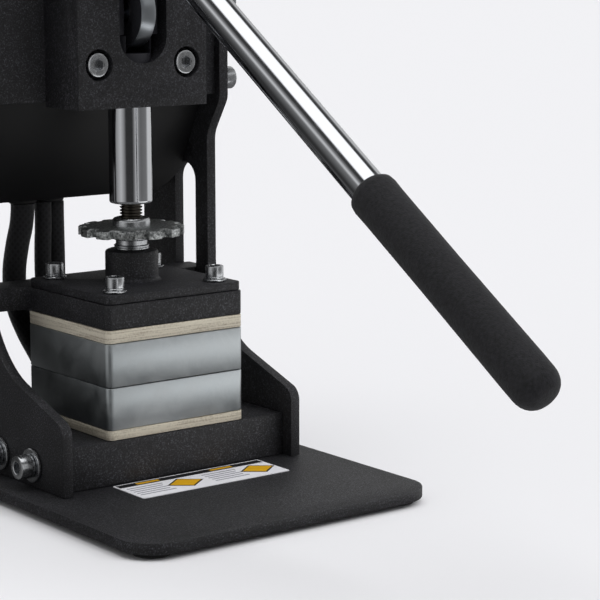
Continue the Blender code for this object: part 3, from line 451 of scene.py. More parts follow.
def bright_zinc():
    """Zinc-plated steel: clear but softened reflections, with faint turning marks."""
    material = new_material("bright zinc plate", "#c3c5c8", metallic=1.0, roughness=0.24)
    shader = material.node_tree.nodes["Principled BSDF"]
    place = node(material, "ShaderNodeTexCoord").outputs["Object"]
    haze = node(material, "ShaderNodeTexNoise", {"Vector": place, "Scale": 420.0, "Detail": 4.0})
    gloss = node(material, "ShaderNodeMapRange", {"Value": haze.outputs["Fac"], "From Min": 0.3,
                                                  "From Max": 0.7, "To Min": 0.16, "To Max": 0.34})
    bump = node(material, "ShaderNodeBump", {"Height": haze.outputs["Fac"], "Strength": 0.12,
                                             "Distance": 0.1 * MM})
    material.node_tree.links.new(gloss.outputs["Result"], shader.inputs["Roughness"])
    material.node_tree.links.new(bump.outputs["Normal"], shader.inputs["Normal"])
    return material


ZINC = bright_zinc()


def cap_screw(head_radius, head_height, shank_radius, shank_length, key):
    """Hex socket cap screw along +Z, seated at its origin."""
    rim = 0.45 * MM
    body = turned([(0, -shank_length), (shank_radius - rim, -shank_length),
                   (shank_radius, rim - shank_length), (shank_radius, 0), (head_radius - rim * 0.4, 0),
                   (head_radius, rim * 0.4), (head_radius, head_height - rim * 1.6),
                   (head_radius - rim * 0.5, head_height - rim * 0.55),
                   (head_radius - rim * 1.7, head_height),
                   (key * 1.28, head_height), (key * 1.15, head_height - 0.25 * MM), (0, head_height - 0.25 * MM)])
    tool = bmesh.new()
    bmesh.ops.create_cone(tool, cap_ends=True, segments=6, radius1=key / math.cos(math.pi / 6),
                          radius2=key / math.cos(math.pi / 6), depth=head_height * 1.1)
    bmesh.ops.translate(tool, verts=tool.verts, vec=(0, 0, head_height))
    return carved(body, tool)


def washer(outer, inner, thickness):
    """Flat washer along +Z from its seat, with rolled edges."""
    rim = 0.3 * MM
    return turned([(inner, 0), (outer - rim, 0), (outer, rim), (outer, thickness - rim),
                   (outer - rim, thickness), (inner + rim, thickness), (inner, thickness - rim)])


M8_WASHER = 9.2 * MM
for side, out in (("left", -1), ("right", 1)):
    for number in (1, 2):
        low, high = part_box(f"platform_bolt_{side}_{number}")
        centre = (low + high) / 2
        ring_low, ring_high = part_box(f"platform_washer_{side}_{number}")
        face = (ring_low if out > 0 else ring_high).x
        top = (ring_high if out > 0 else ring_low).x
        ring = washer(M8_WASHER, 4.3 * MM, abs(top - face))
        fitted(f"zinc_washer_{side}_{number}", aimed(ring, (face, centre.y, centre.z), (out, 0, 0)),
               ZINC, "frame", "zinc_steel", f"platform_washer_{side}_{number}")
        screw = cap_screw(6.5 * MM, 8 * MM, 4 * MM, high.x - low.x - 9 * MM, 3 * MM)
        head_end = high.x if out > 0 else low.x
        fitted(f"platform_cap_screw_{side}_{number}",
               aimed(screw, (head_end - out * 8 * MM, centre.y, centre.z), (out, 0, 0)),
               ZINC, "frame", "zinc_steel", f"platform_bolt_{side}_{number}")
        low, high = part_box(f"head_bolt_{side}_{number}")
        centre = (low + high) / 2
        head_end = high.x if out > 0 else low.x
        screw = cap_screw(6.5 * MM, 8 * MM, 4 * MM, high.x - low.x - 9 * MM, 3 * MM)
        fitted(f"head_cap_screw_{side}_{number}",
               aimed(screw, (head_end - out * 8 * MM, centre.y, centre.z), (out, 0, 0)),
               ZINC, "frame", "zinc_steel", f"head_bolt_{side}_{number}")
        ring = washer(M8_WASHER, 4.3 * MM, 1.6 * MM)
        fitted(f"head_washer_{side}_{number}",
               aimed(ring, (head_end - out * 9.6 * MM, centre.y, centre.z), (out, 0, 0)), ZINC,
               "frame", "zinc_steel")


# ---- Insulating boards -------------------------------------------------------------------
# Pressed mica-fibre laminate, sawn to size: pale tan, dusty, with thin layers at the edges.
def laminate():
    """Sawn fibre board: layers 0.8 mm thick run round its edges, and fibres speckle its faces."""
    material = new_material("pressed fibre laminate", "#b3aa97", roughness=0.78)
    shader = material.node_tree.nodes["Principled BSDF"]
    place = node(material, "ShaderNodeTexCoord").outputs["Object"]
    flat = node(material, "ShaderNodeMapping", {"Vector": place, "Scale": (30.0, 30.0, 1250.0)})
    layers = node(material, "ShaderNodeTexNoise", {"Vector": flat.outputs[0], "Scale": 1.0, "Detail": 3.0})
    fibres = node(material, "ShaderNodeTexNoise", {"Vector": place, "Scale": 900.0, "Detail": 4.0})
    both = node(material, "ShaderNodeMath", {0: fibres.outputs["Fac"], 1: 0.5, 2: layers.outputs["Fac"]},
                operation="MULTIPLY_ADD")
    tint = colour_ramp(material, both.outputs[0],
                       [(0.45, hex_colour("#85796a")), (0.8, hex_colour("#c6bfae"))])
    bump = node(material, "ShaderNodeBump", {"Height": both.outputs[0], "Strength": 0.3,
                                             "Distance": 0.15 * MM})
    material.node_tree.links.new(tint, shader.inputs["Base Color"])
    material.node_tree.links.new(bump.outputs["Normal"], shader.inputs["Normal"])
    return material


FIBRE_BOARD = laminate()
STACK_CORNER = 3.5 * MM
for level, body in (("lower", "frame"), ("upper", "carriage")):
    board = slab(*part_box(f"{level}_insulator_board"), STACK_CORNER, 0.3 * MM)
    fitted(f"{level}_fibre_board", board, FIBRE_BOARD, body, "fibre_board", f"{level}_insulator_board")


# ---- Heated platens ----------------------------------------------------------------------
# Two thick slabs of sawn and lightly ground aluminium bar, one on each board, with their
# corners rounded. A steel cartridge heater enters each from the back.
def ground_aluminium():
    """Mill-finish aluminium: cloudy grey with fine upright grinding lines 0.4 mm apart."""
    material = new_material("mill-finish aluminium", "#c0c6c8", metallic=1.0, roughness=0.4)
    shader = material.node_tree.nodes["Principled BSDF"]
    place = node(material, "ShaderNodeTexCoord").outputs["Object"]
    upright = node(material, "ShaderNodeMapping", {"Vector": place, "Scale": (2400.0, 2400.0, 60.0)})
    lines = node(material, "ShaderNodeTexNoise", {"Vector": upright.outputs[0], "Scale": 1.0, "Detail": 3.0})
    cloud = node(material, "ShaderNodeTexNoise", {"Vector": place, "Scale": 55.0, "Detail": 6.0,
                                                  "Roughness": 0.6, "Distortion": 0.6})
    tint = colour_ramp(material, cloud.outputs["Fac"],
                       [(0.3, hex_colour("#b0b6b9")), (0.72, hex_colour("#ccd1d3"))])
    gloss = node(material, "ShaderNodeMapRange", {"Value": cloud.outputs["Fac"], "From Min": 0.3,
                                                  "From Max": 0.7, "To Min": 0.36, "To Max": 0.52})
    bump = node(material, "ShaderNodeBump", {"Height": lines.outputs["Fac"], "Strength": 0.1,
                                             "Distance": 0.1 * MM})
    links = material.node_tree.links
    links.new(tint, shader.inputs["Base Color"])
    links.new(gloss.outputs["Result"], shader.inputs["Roughness"])
    links.new(bump.outputs["Normal"], shader.inputs["Normal"])
    return material


ALUMINIUM = ground_aluminium()


def chrome_plate():
    """Hard chrome on ground steel: near-mirror, with the faintest cloudy haze."""
    material = new_material("hard chrome", "#cfd1d5", metallic=1.0, roughness=0.1)
    shader = material.node_tree.nodes["Principled BSDF"]
    place = node(material, "ShaderNodeTexCoord").outputs["Object"]
    haze = node(material, "ShaderNodeTexNoise", {"Vector": place, "Scale": 160.0, "Detail": 5.0})
    gloss = node(material, "ShaderNodeMapRange", {"Value": haze.outputs["Fac"], "From Min": 0.3,
                                                  "From Max": 0.7, "To Min": 0.07, "To Max": 0.16})
    material.node_tree.links.new(gloss.outputs["Result"], shader.inputs["Roughness"])
    return material


CHROME = chrome_plate()
for level, body in (("lower", "frame"), ("upper", "carriage")):
    platen = slab(*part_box(f"{level}_platen"), STACK_CORNER, 0.5 * MM)
    low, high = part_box(f"{level}_cartridge_heater")
    radius = (high.x - low.x) / 2
    centre = (low + high) / 2
    hole = aimed(turned([(0, 0), (radius * 1.05, 0), (radius * 1.05, 68 * MM), (0, 68 * MM)]),
                 (centre.x, low.y - MM, centre.z), (0, 1, 0))
    fitted(f"{level}_aluminium_platen", carved(platen, hole), ALUMINIUM, body, "aluminium", f"{level}_platen")
    length = high.y - low.y
    rod = turned([(0, 0), (radius - MM, 0), (radius, MM), (radius, length - 0.6 * MM),
                  (radius - 0.6 * MM, length), (0, length)])
    fitted(f"{level}_heater_rod", aimed(rod, (centre.x, low.y, centre.z), (0, 1, 0)), CHROME, body,
           "chrome", f"{level}_cartridge_heater")


# ---- Carriage ----------------------------------------------------------------------------
# The block that presses on the upper board. Its two ears run in the guide slots. A boss plate
# is screwed on top with four M6 screws and washers, and the boss is welded to the plate.
CARRIAGE_LOW, CARRIAGE_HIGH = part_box("carriage_block")
PLATEN_LOW, PLATEN_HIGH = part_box("upper_platen")


def carriage_block():
    """Block with its ears, in one piece, and a fillet where each ear leaves it."""
    left, right = PLATEN_LOW.x, PLATEN_HIGH.x
    ear_front = CARRIAGE_HIGH.y - 20 * MM
    fillet = 8 * MM
    corners = [(left, CARRIAGE_LOW.y, STACK_CORNER), (right, CARRIAGE_LOW.y, STACK_CORNER),
               (right, ear_front, fillet), (CARRIAGE_HIGH.x, ear_front, MM),
               (CARRIAGE_HIGH.x, CARRIAGE_HIGH.y, MM), (CARRIAGE_LOW.x, CARRIAGE_HIGH.y, MM),
               (CARRIAGE_LOW.x, ear_front, MM), (left, ear_front, fillet)]
    return sheet("Z", CARRIAGE_LOW.z, CARRIAGE_HIGH.z, corners, 0.6 * MM)


fitted("coated_carriage_block", carriage_block(), BLACK_COAT, "carriage", "powder_coat", "carriage_block")

BOSS_LOW, BOSS_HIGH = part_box("boss_plate")
BOSS_PLATE_TOP = BOSS_LOW.z + 4.6 * MM
fitted("coated_boss_plate", slab(BOSS_LOW, (BOSS_HIGH.x, BOSS_HIGH.y, BOSS_PLATE_TOP), STACK_CORNER, 0.5 * MM),
       BLACK_COAT, "carriage", "powder_coat", "boss_plate")


def boss():
    """Turned boss with a weld bead round its foot and a bore for the stud's journal."""
    height = BOSS_HIGH.z - BOSS_PLATE_TOP
    radius = 14.7 * MM
    weld = [(radius + 2.2 * MM * (1 - math.sin(a)), 2.2 * MM * (1 - math.cos(a)))
            for a in (math.radians(k * 15) for k in range(7))]
    return turned([(6.4 * MM, -0.4 * MM), (radius + 2.2 * MM, -0.4 * MM), *weld,
                   (radius, height - 1.6 * MM), (radius - 0.5 * MM, height - 0.5 * MM),
                   (radius - 1.6 * MM, height), (7 * MM, height), (6.4 * MM, height - 0.6 * MM)], 64)


fitted("coated_boss", aimed(boss(), (0, RAM_Y, BOSS_PLATE_TOP)), BLACK_COAT, "carriage", "powder_coat",
       "boss_plate")
for number in range(1, 5):
    low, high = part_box(f"boss_plate_screw_{number}")
    centre = (low + high) / 2
    spot = (centre.x, centre.y, high.z - 6 * MM)
    fitted(f"boss_cap_screw_{number}", aimed(cap_screw(5 * MM, 6 * MM, 3 * MM, 13 * MM, 2.5 * MM), spot),
           ZINC, "carriage", "zinc_steel", f"boss_plate_screw_{number}")
    for kind, outer, drop in (("spring", 5.1 * MM, 1.2 * MM), ("flat", 6.5 * MM, 2.4 * MM)):
        ring = washer(outer, 3.2 * MM, 1.15 * MM)
        fitted(f"boss_{kind}_washer_{number}", aimed(ring, spot[:2] + (spot[2] - drop,)), ZINC, "carriage",
               "zinc_steel")


# ---- Height adjuster ---------------------------------------------------------------------
# A threaded stud between the boss and the ram, and the toothed hand wheel fixed on it. The
# wheel is a rough zinc casting with a turned hub; the thread is plain oiled steel.
STUD_LOW, STUD_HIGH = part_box("adjusting_stud")
WHEEL_LOW, WHEEL_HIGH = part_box("adjusting_wheel")


def thread_profile(low, high, radius, pitch=1.75 * MM):
    """Outer outline of a screw thread, drawn as rings one pitch apart."""
    points = []
    count = int((high - low) / pitch)
    for k in range(count):
        start = low + k * pitch
        points += [(radius, start + 0.2 * pitch), (radius, start + 0.45 * pitch),
                   (radius - 0.6 * pitch, start + 0.72 * pitch), (radius - 0.6 * pitch, start + 0.92 * pitch)]
    return points


def stud():
    """Journal, collar, neck and thread in one turned piece; the thread is the darker part."""
    collar = BOSS_HIGH.z + 0.3 * MM - STUD_LOW.z
    neck = collar + 2.4 * MM
    thread = neck + 2.6 * MM
    end = STUD_HIGH.z - STUD_LOW.z
    return turned([(0, 0), (6 * MM, 0), (6 * MM, collar), (9.4 * MM, collar), (9.7 * MM, collar + 0.3 * MM),
                   (9.7 * MM, collar + 0.9 * MM), (9.2 * MM, collar + 1.2 * MM), (9.2 * MM, collar + 1.4 * MM),
                   (9.7 * MM, collar + 1.7 * MM), (9.7 * MM, neck - 0.3 * MM), (9.4 * MM, neck),
                   (8.7 * MM, neck + 0.2 * MM), (8.7 * MM, thread), (6.2 * MM, thread),
                   *thread_profile(thread, end, 6.2 * MM), (5 * MM, end), (0, end)])


OILED_STEEL = new_material("oiled thread steel", "#57534c", metallic=1.0, roughness=0.36)
solid = stud()
for face in solid.faces:
    face.material_index = int(face.calc_center_median().z > WHEEL_LOW.z - STUD_LOW.z)
fitted("threaded_stud", aimed(solid, (0, RAM_Y, STUD_LOW.z)), (ZINC, OILED_STEEL), "adjuster", "zinc_steel",
       "adjusting_stud")


def cast_zinc():
    """Sand-cast and tumbled zinc alloy: grey, pitted at about 1 mm, shinier on its high spots."""
    material = new_material("tumbled zinc casting", "#85898a", metallic=1.0, roughness=0.42)
    shader = material.node_tree.nodes["Principled BSDF"]
    place = node(material, "ShaderNodeTexCoord").outputs["Object"]
    pits = node(material, "ShaderNodeTexNoise", {"Vector": place, "Scale": 700.0, "Detail": 4.0,
                                                 "Roughness": 0.6})
    tint = colour_ramp(material, pits.outputs["Fac"],
                       [(0.38, hex_colour("#6a6d6d")), (0.62, hex_colour("#dcdfdf"))])
    bump = node(material, "ShaderNodeBump", {"Height": pits.outputs["Fac"], "Strength": 0.6,
                                             "Distance": 0.4 * MM})
    material.node_tree.links.new(tint, shader.inputs["Base Color"])
    material.node_tree.links.new(bump.outputs["Normal"], shader.inputs["Normal"])
    return material


CAST_ZINC = cast_zinc()


def hand_wheel():
    """Disc with twelve broad teeth, cut by turning one notch round it."""
    radius = (WHEEL_HIGH.x - WHEEL_LOW.x) / 2
    disc = turned([(6.5 * MM, 3.2 * MM), (13.5 * MM, 2 * MM), (17 * MM, 2 * MM), (19 * MM, 2.9 * MM),
                   (radius, 2.9 * MM), (radius, 7.2 * MM), (radius - 2 * MM, 7.8 * MM), (13 * MM, 7.6 * MM),
                   (6.5 * MM, 8 * MM)], 96)
    notches = []
    for k in range(12):
        notch = slab((radius - 4.6 * MM, -2.9 * MM, 0), (radius + 3 * MM, 2.9 * MM, 12 * MM), 0, 0)
        outer = [v for v in notch.verts if v.co.x > radius]
        bmesh.ops.scale(notch, vec=(1, 1.35, 1), verts=outer)
        bmesh.ops.rotate(notch, verts=notch.verts, cent=(0, 0, 0),
                         matrix=Matrix.Rotation(math.tau * (k + 0.3) / 12, 3, "Z"))
        notches.append(notch)
    return break_edges(carved(disc, *notches), 0.35 * MM)


def wheel_hub():
    """Turned hub with a soft shoulder, standing above and below the disc."""
    top = WHEEL_HIGH.z - WHEEL_LOW.z
    return turned([(6.5 * MM, 0), (9.8 * MM, 0), (10.4 * MM, 0.6 * MM), (10.5 * MM, top - 2.4 * MM),
                   (10.2 * MM, top - 1.2 * MM), (9.6 * MM, top - 0.5 * MM), (8.4 * MM, top - 0.1 * MM),
                   (7.6 * MM, top), (6.5 * MM, top)], 64)


fitted("toothed_wheel_disc", aimed(hand_wheel(), (0, RAM_Y, WHEEL_LOW.z)), CAST_ZINC, "adjuster", "zinc_steel",
       "adjusting_wheel")
fitted("turned_wheel_hub", aimed(wheel_hub(), (0, RAM_Y, WHEEL_LOW.z)), ZINC, "adjuster", "zinc_steel",
       "adjusting_wheel")


# ---- Ram ---------------------------------------------------------------------------------
# A chromed round bar that slides in the head block. Its lower end is bored for the stud and
# its top is milled to a fork that holds the toggle link on a clevis pin.
PIN_LOW, PIN_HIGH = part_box("clevis_pin")
RAM_PIN = (PIN_LOW.z + PIN_HIGH.z) / 2
LINK_LOW, LINK_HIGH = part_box("toggle_link")


RAM_RADIUS = (RAM_HIGH.y - RAM_LOW.y) / 2
FORK_LOW = RAM_LOW.z + 92 * MM


def ram_bar():
    """Round bar with a chamfered foot and a bore for the stud."""
    top = FORK_LOW - RAM_LOW.z
    bar = turned([(6.5 * MM, 30 * MM), (6.5 * MM, 0.8 * MM), (7.3 * MM, 0), (RAM_RADIUS - 1.2 * MM, 0),
                  (RAM_RADIUS - 0.4 * MM, 0.4 * MM), (RAM_RADIUS, 1.2 * MM), (RAM_RADIUS, 1.7 * MM),
                  (RAM_RADIUS, 75.5 * MM), (RAM_RADIUS, 76 * MM),
                  (RAM_RADIUS, top - 0.3 * MM),
                  (0, top - 0.3 * MM), (0, 30 * MM)], 96)
    aimed(bar, (0, RAM_Y, RAM_LOW.z))
    half = (LINK_HIGH.x - LINK_LOW.x) / 2 + 3 * MM
    solid = break_edges(carved(bar, slab((-half, RAM_Y - 20 * MM, RAM_PIN - 22 * MM),
                                         (half, RAM_Y + 20 * MM, RAM_HIGH.z), 0, 0)), 0.3 * MM)
    # Faces above 76 mm take the dark steel: painted shade on the ram's head.
    for face in solid.faces:
        face.material_index = int(face.calc_center_median().z > RAM_LOW.z + 76 * MM)
    return solid


def ram_fork():
    """Wide fork on the ram's top, bored for the clevis pin."""
    half = (LINK_HIGH.x - LINK_LOW.x) / 2 + 3 * MM
    block = slab((RAM_LOW.x, RAM_Y - 8 * MM, FORK_LOW), (RAM_HIGH.x, RAM_Y + 8 * MM, RAM_HIGH.z), 0, 0)
    slot = slab((-half, RAM_Y - 20 * MM, FORK_LOW - MM), (half, RAM_Y + 20 * MM, RAM_HIGH.z + MM), 0, 0)
    hole = aimed(turned([(0, 0), (5.2 * MM, 0), (5.2 * MM, 40 * MM), (0, 40 * MM)]),
                 (-20 * MM, RAM_Y, RAM_PIN), (1, 0, 0))
    return break_edges(carved(block, slot, hole), 0.6 * MM)


# The ram's head from 76 mm up and its fork are coloured dark steel. This is painted shade for the shadow that the link
# and the head block cast over them.
SHADE_DARK_STEEL = new_material("dark steel with painted shade", "#2e2e33", metallic=0.4, roughness=0.5)
fitted("chromed_ram", ram_bar(), (CHROME, SHADE_DARK_STEEL), "ram", "chrome", "ram")
fitted("shade_darkened_ram_fork", ram_fork(), SHADE_DARK_STEEL, "ram", "chrome", "ram")


def cross_pin(low, high):
    """Plain ground pin along X with chamfered ends."""
    radius = (high.z - low.z) / 2
    length = high.x - low.x
    rim = 0.5 * MM
    pin = turned([(0, 0), (radius - rim, 0), (radius, rim), (radius, length - rim), (radius - rim, length),
                  (0, length)])
    return aimed(pin, (low.x, (low.y + high.y) / 2, (low.z + high.z) / 2), (1, 0, 0))


for name, body in (("clevis_pin", "ram"), ("crank_pin", "lever"), ("pivot_pin", "frame")):
    fitted(f"ground_{name}", cross_pin(*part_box(name)), CHROME, body, "chrome", name)


# ---- Head block and head plate -----------------------------------------------------------
# A heavy U-shaped block guides the ram and carries the lever's pivot. Four M8 screws in deep
# counterbores hold it to the head plate, which is bolted between the side plates.
BLOCK_LOW, BLOCK_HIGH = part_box("head_block")
SCREW_BOXES = [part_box(f"head_block_screw_{number}") for number in range(1, 5)]
PIVOT_LOW, PIVOT_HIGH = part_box("pivot_pin")
PIVOT = Vector((0, RAM_Y, (PIVOT_LOW.z + PIVOT_HIGH.z) / 2))


def bar_tool(spot, direction, radius, length, steps=48):
    """Round cutter along a direction."""
    return aimed(turned([(0, 0), (radius, 0), (radius, length), (0, length)], steps), spot, direction)


def head_block():
    """Block with its slot, ram bore, pivot bore and counterbores."""
    half = 15.1 * MM
    floor = BLOCK_LOW.z + 23.5 * MM
    corners = [(BLOCK_LOW.x, BLOCK_LOW.z, 0), (BLOCK_HIGH.x, BLOCK_LOW.z, 0), (BLOCK_HIGH.x, BLOCK_HIGH.z, 4 * MM),
               (half, BLOCK_HIGH.z, 0), (half, floor, half * 0.98), (-half, floor, half * 0.98),
               (-half, BLOCK_HIGH.z, 0), (BLOCK_LOW.x, BLOCK_HIGH.z, 4 * MM)]
    block = sheet("Y", BLOCK_LOW.y, BLOCK_HIGH.y, corners, 0)
    tools = [bar_tool((0, RAM_Y, BLOCK_LOW.z - MM), (0, 0, 1), RAM_RADIUS + 0.3 * MM, 40 * MM, 96),
             bar_tool((BLOCK_LOW.x - MM, RAM_Y, PIVOT.z), (1, 0, 0), 5.3 * MM, 90 * MM)]
    for low, high in SCREW_BOXES:
        centre = (low + high) / 2
        tools.append(bar_tool((centre.x, BLOCK_LOW.y - MM, centre.z), (0, 1, 0), 8.5 * MM, 10 * MM))
    return break_edges(carved(block, *tools), 0.8 * MM)


fitted("coated_head_block", head_block(), BLACK_COAT, "frame", "powder_coat", "head_block")
fitted("coated_head_plate", slab(*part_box("head_plate"), MM, 0.6 * MM, "Y"), BLACK_COAT, "frame",
       "powder_coat", "head_plate")
for number, (low, high) in enumerate(SCREW_BOXES, 1):
    centre = (low + high) / 2
    seat = (centre.x, low.y + 8 * MM, centre.z)
    fitted(f"block_cap_screw_{number}", aimed(cap_screw(6.5 * MM, 8 * MM, 4 * MM, 16 * MM, 3 * MM), seat, (0, -1, 0)),
           ZINC, "frame", "zinc_steel", f"head_block_screw_{number}")


# ---- Lever and toggle --------------------------------------------------------------------
# A forked hub turns on the pivot pin; a chromed bar is pressed into its socket and carries a
# foam grip. The hub's crank pin drives the ram through one thick polished link.
BAR_LOW, BAR_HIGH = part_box("lever_bar")
DROOP = math.radians(33.5)
LEVER = Vector((0, -math.cos(DROOP), -math.sin(DROOP)))
CRANK_LOW, CRANK_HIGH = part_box("crank_pin")
CRANK = (CRANK_LOW.z + CRANK_HIGH.z) / 2


def round_ended(centre_a, radius_a, centre_b, radius_b, low, high, edge):
    """Thick link across X between two round ends at (y, z) centres, joined by tangents."""
    bm = bmesh.new()
    a, b = Vector(centre_a), Vector(centre_b)
    lean = math.asin((radius_a - radius_b) / (b - a).length)
    heading = math.atan2((b - a).y, (b - a).x)
    verts = []
    for centre, radius, start, sweep in (
            (a, radius_a, heading + math.pi / 2 - lean, math.pi + 2 * lean),
            (b, radius_b, heading - math.pi / 2 + lean, math.pi - 2 * lean)):
        for k in range(33):
            angle = start + sweep * k / 32
            verts.append(bm.verts.new((low, centre.x + radius * math.cos(angle), centre.y + radius * math.sin(angle))))
    far = bmesh.ops.extrude_face_region(bm, geom=[bm.faces.new(verts)])["geom"]
    bmesh.ops.translate(bm, verts=[v for v in far if isinstance(v, bmesh.types.BMVert)], vec=(high - low, 0, 0))
    bmesh.ops.recalc_face_normals(bm, faces=bm.faces)
    return break_edges(bm, edge) if edge else bm


def lever_hub():
    """Hub body and its socket, with the fork cut up its middle."""
    half = 12 * MM
    body = round_ended((RAM_Y, PIVOT.z), 16 * MM, (RAM_Y, CRANK), 8.5 * MM, -half, half, 0)
    fork = 5.2 * MM
    tools = [slab((-fork, RAM_Y - 14 * MM, PIVOT.z - 40 * MM), (fork, RAM_Y + 18 * MM, PIVOT.z + 7 * MM), 0, 0)]
    for height, radius in ((PIVOT.z, 5.3 * MM), (CRANK, 4.3 * MM)):
        tools.append(bar_tool((-15 * MM, RAM_Y, height), (1, 0, 0), radius, 30 * MM))
    return break_edges(carved(body, *tools), 0.6 * MM)


fitted("coated_lever_hub", lever_hub(), BLACK_COAT, "lever", "powder_coat", "lever_hub")
socket = turned([(9.5 * MM, 44 * MM), (9.5 * MM, 15 * MM), (0, 15 * MM), (0, 14 * MM), (11.5 * MM, 14 * MM),
                 (12.5 * MM, 16 * MM), (12.5 * MM, 43 * MM), (11.5 * MM, 44 * MM), (9.5 * MM, 44 * MM)], 64)
fitted("coated_bar_socket", aimed(socket, PIVOT, LEVER), BLACK_COAT, "lever", "powder_coat", "lever_hub")
BAR_RADIUS = (BAR_HIGH.x - BAR_LOW.x) / 2
bar = turned([(0, 20 * MM), (BAR_RADIUS - MM, 20 * MM), (BAR_RADIUS, 21 * MM), (BAR_RADIUS, 378 * MM),
              (BAR_RADIUS - MM, 379 * MM), (0, 379 * MM)], 96)
fitted("chromed_lever_bar", aimed(bar, PIVOT, LEVER), CHROME, "lever", "chrome", "lever_bar")


def foam():
    """Dipped closed-cell foam: dull black, dusted with pores about 0.6 mm across."""
    material = new_material("closed-cell foam sleeve", "#161618", roughness=0.88, Sheen_Weight=0.08,
                            Sheen_Roughness=0.5)
    shader = material.node_tree.nodes["Principled BSDF"]
    place = node(material, "ShaderNodeTexCoord").outputs["Object"]
    pores = node(material, "ShaderNodeTexVoronoi", {"Vector": place, "Scale": 1300.0})
    swell = node(material, "ShaderNodeTexNoise", {"Vector": place, "Scale": 620.0, "Detail": 4.0})
    height = node(material, "ShaderNodeMath", {0: pores.outputs["Distance"], 1: 0.5, 2: swell.outputs["Fac"]},
                  operation="MULTIPLY_ADD")
    tint = colour_ramp(material, swell.outputs["Fac"],
                       [(0.3, hex_colour("#121214")), (0.75, hex_colour("#242428"))])
    bump = node(material, "ShaderNodeBump", {"Height": height.outputs[0], "Strength": 0.5, "Distance": 0.3 * MM})
    material.node_tree.links.new(tint, shader.inputs["Base Color"])
    material.node_tree.links.new(bump.outputs["Normal"], shader.inputs["Normal"])
    return material


FOAM = foam()


def grip():
    """Sleeve with a soft rolled mouth and a domed end."""
    radius = 12 * MM
    start, end = 247.6 * MM, 391.4 * MM
    dome = 10 * MM
    profile = [(BAR_RADIUS + 0.2 * MM, 379.4 * MM), (BAR_RADIUS + 0.2 * MM, start + MM),
               (BAR_RADIUS + MM, start + 0.2 * MM), (radius - 1.4 * MM, start + 0.7 * MM),
               (radius - 0.2 * MM, start + 2 * MM), (radius + 0.2 * MM, start + 5 * MM), (radius, start + 12 * MM),
               (radius - 0.2 * MM, start + 60 * MM), (radius, end - dome - 8 * MM)]
    for k in range(9):
        angle = math.radians(90) * k / 8
        profile.append(((radius - 0.1 * MM) * max(0.0, math.cos(angle)) ** 0.62,
                        end - dome + dome * math.sin(angle)))
    return turned([(0, 379.4 * MM), *profile[:-1], (0, end)], 96)


fitted("foam_grip", aimed(grip(), PIVOT, LEVER), FOAM, "lever", "black_rubber", "lever_grip", crease=60)


def link():
    """Link with both its eyes bored; its foot swells towards the operator."""
    plate = round_ended((RAM_Y - 1.2 * MM, RAM_PIN), 19 * MM, (RAM_Y, CRANK), 8 * MM, LINK_LOW.x, LINK_HIGH.x, 0)
    tools = [bar_tool((-8 * MM, RAM_Y, RAM_PIN), (1, 0, 0), 8 * MM, 16 * MM),
             bar_tool((-8 * MM, RAM_Y, CRANK), (1, 0, 0), 4.3 * MM, 16 * MM)]
    solid = break_edges(carved(plate, *tools), 0.5 * MM)
    for face in solid.faces:
        face.material_index = int(abs(face.normal.x) > 0.9)
    return solid


def cast_skin():
    """Skin of a steel casting left as cast: dark grey, rough, with 1 mm grains that glint."""
    material = new_material("as-cast steel skin", "#3a3b40", metallic=0.7, roughness=0.5)
    shader = material.node_tree.nodes["Principled BSDF"]
    place = node(material, "ShaderNodeTexCoord").outputs["Object"]
    grains = node(material, "ShaderNodeTexNoise", {"Vector": place, "Scale": 800.0, "Detail": 4.0})
    bump = node(material, "ShaderNodeBump", {"Height": grains.outputs["Fac"], "Strength": 0.7,
                                             "Distance": 0.4 * MM})
    material.node_tree.links.new(bump.outputs["Normal"], shader.inputs["Normal"])
    return material


GROUND_STEEL = new_material("ground steel edge", "#aeb3b8", metallic=1.0, roughness=0.3)
fitted("cast_toggle_link", link(), (GROUND_STEEL, cast_skin()), "link", "chrome", "toggle_link")


# ---- Control housing ---------------------------------------------------------------------
# A vacuum-formed box behind the head: rounded lower corners and a front that slopes back
# under the head plate. A sheet-metal cover closes it and holds the fittings.
def moulded_plastic():
    """Black ABS with a fine spark-eroded texture, about 0.4 mm."""
    material = new_material("moulded black ABS", "#141416", roughness=0.55)
    shader = material.node_tree.nodes["Principled BSDF"]
    place = node(material, "ShaderNodeTexCoord").outputs["Object"]
    texture = node(material, "ShaderNodeTexNoise", {"Vector": place, "Scale": 2200.0, "Detail": 2.0})
    bump = node(material, "ShaderNodeBump", {"Height": texture.outputs["Fac"], "Strength": 0.2,
                                             "Distance": 0.1 * MM})
    material.node_tree.links.new(bump.outputs["Normal"], shader.inputs["Normal"])
    return material


PLASTIC = moulded_plastic()
HOUSING_LOW, HOUSING_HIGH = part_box("control_housing")
HOUSING_LIP = RAM_Y + 62 * MM
SLOPE_TOP = BASE_TOP + 197 * MM


def housing(inset=0.0, back=0.0):
    """Closed outer shape of the housing, or of the space inside it."""
    low = HOUSING_LOW + Vector((inset, inset, inset))
    high = HOUSING_HIGH - Vector((inset, -back, inset))
    corner = 18 * MM - inset
    bm = sheet("Y", low.y, high.y, [(low.x, low.z, corner), (high.x, low.z, corner), (high.x, high.z, MM),
                                    (low.x, high.z, MM)], 0)
    slope = Vector((0, HOUSING_LIP - HOUSING_LOW.y, HOUSING_LOW.z - SLOPE_TOP))
    normal = Vector((0, slope.z, -slope.y)).normalized()
    cut = bmesh.ops.bisect_plane(bm, geom=bm.verts[:] + bm.edges[:] + bm.faces[:], dist=1e-7,
                                 plane_co=Vector((0, HOUSING_LOW.y, SLOPE_TOP)) - normal * inset,
                                 plane_no=normal, clear_outer=True)
    bmesh.ops.contextual_create(bm, geom=[e for e in cut["geom_cut"] if isinstance(e, bmesh.types.BMEdge)])
    bmesh.ops.recalc_face_normals(bm, faces=bm.faces)
    return bm


fitted("moulded_housing", break_edges(carved(housing(), housing(2.5 * MM, 4 * MM)), 0.5 * MM), PLASTIC, "frame",
       "black_plastic", "control_housing")

COVER_LOW, COVER_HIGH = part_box("control_cover")


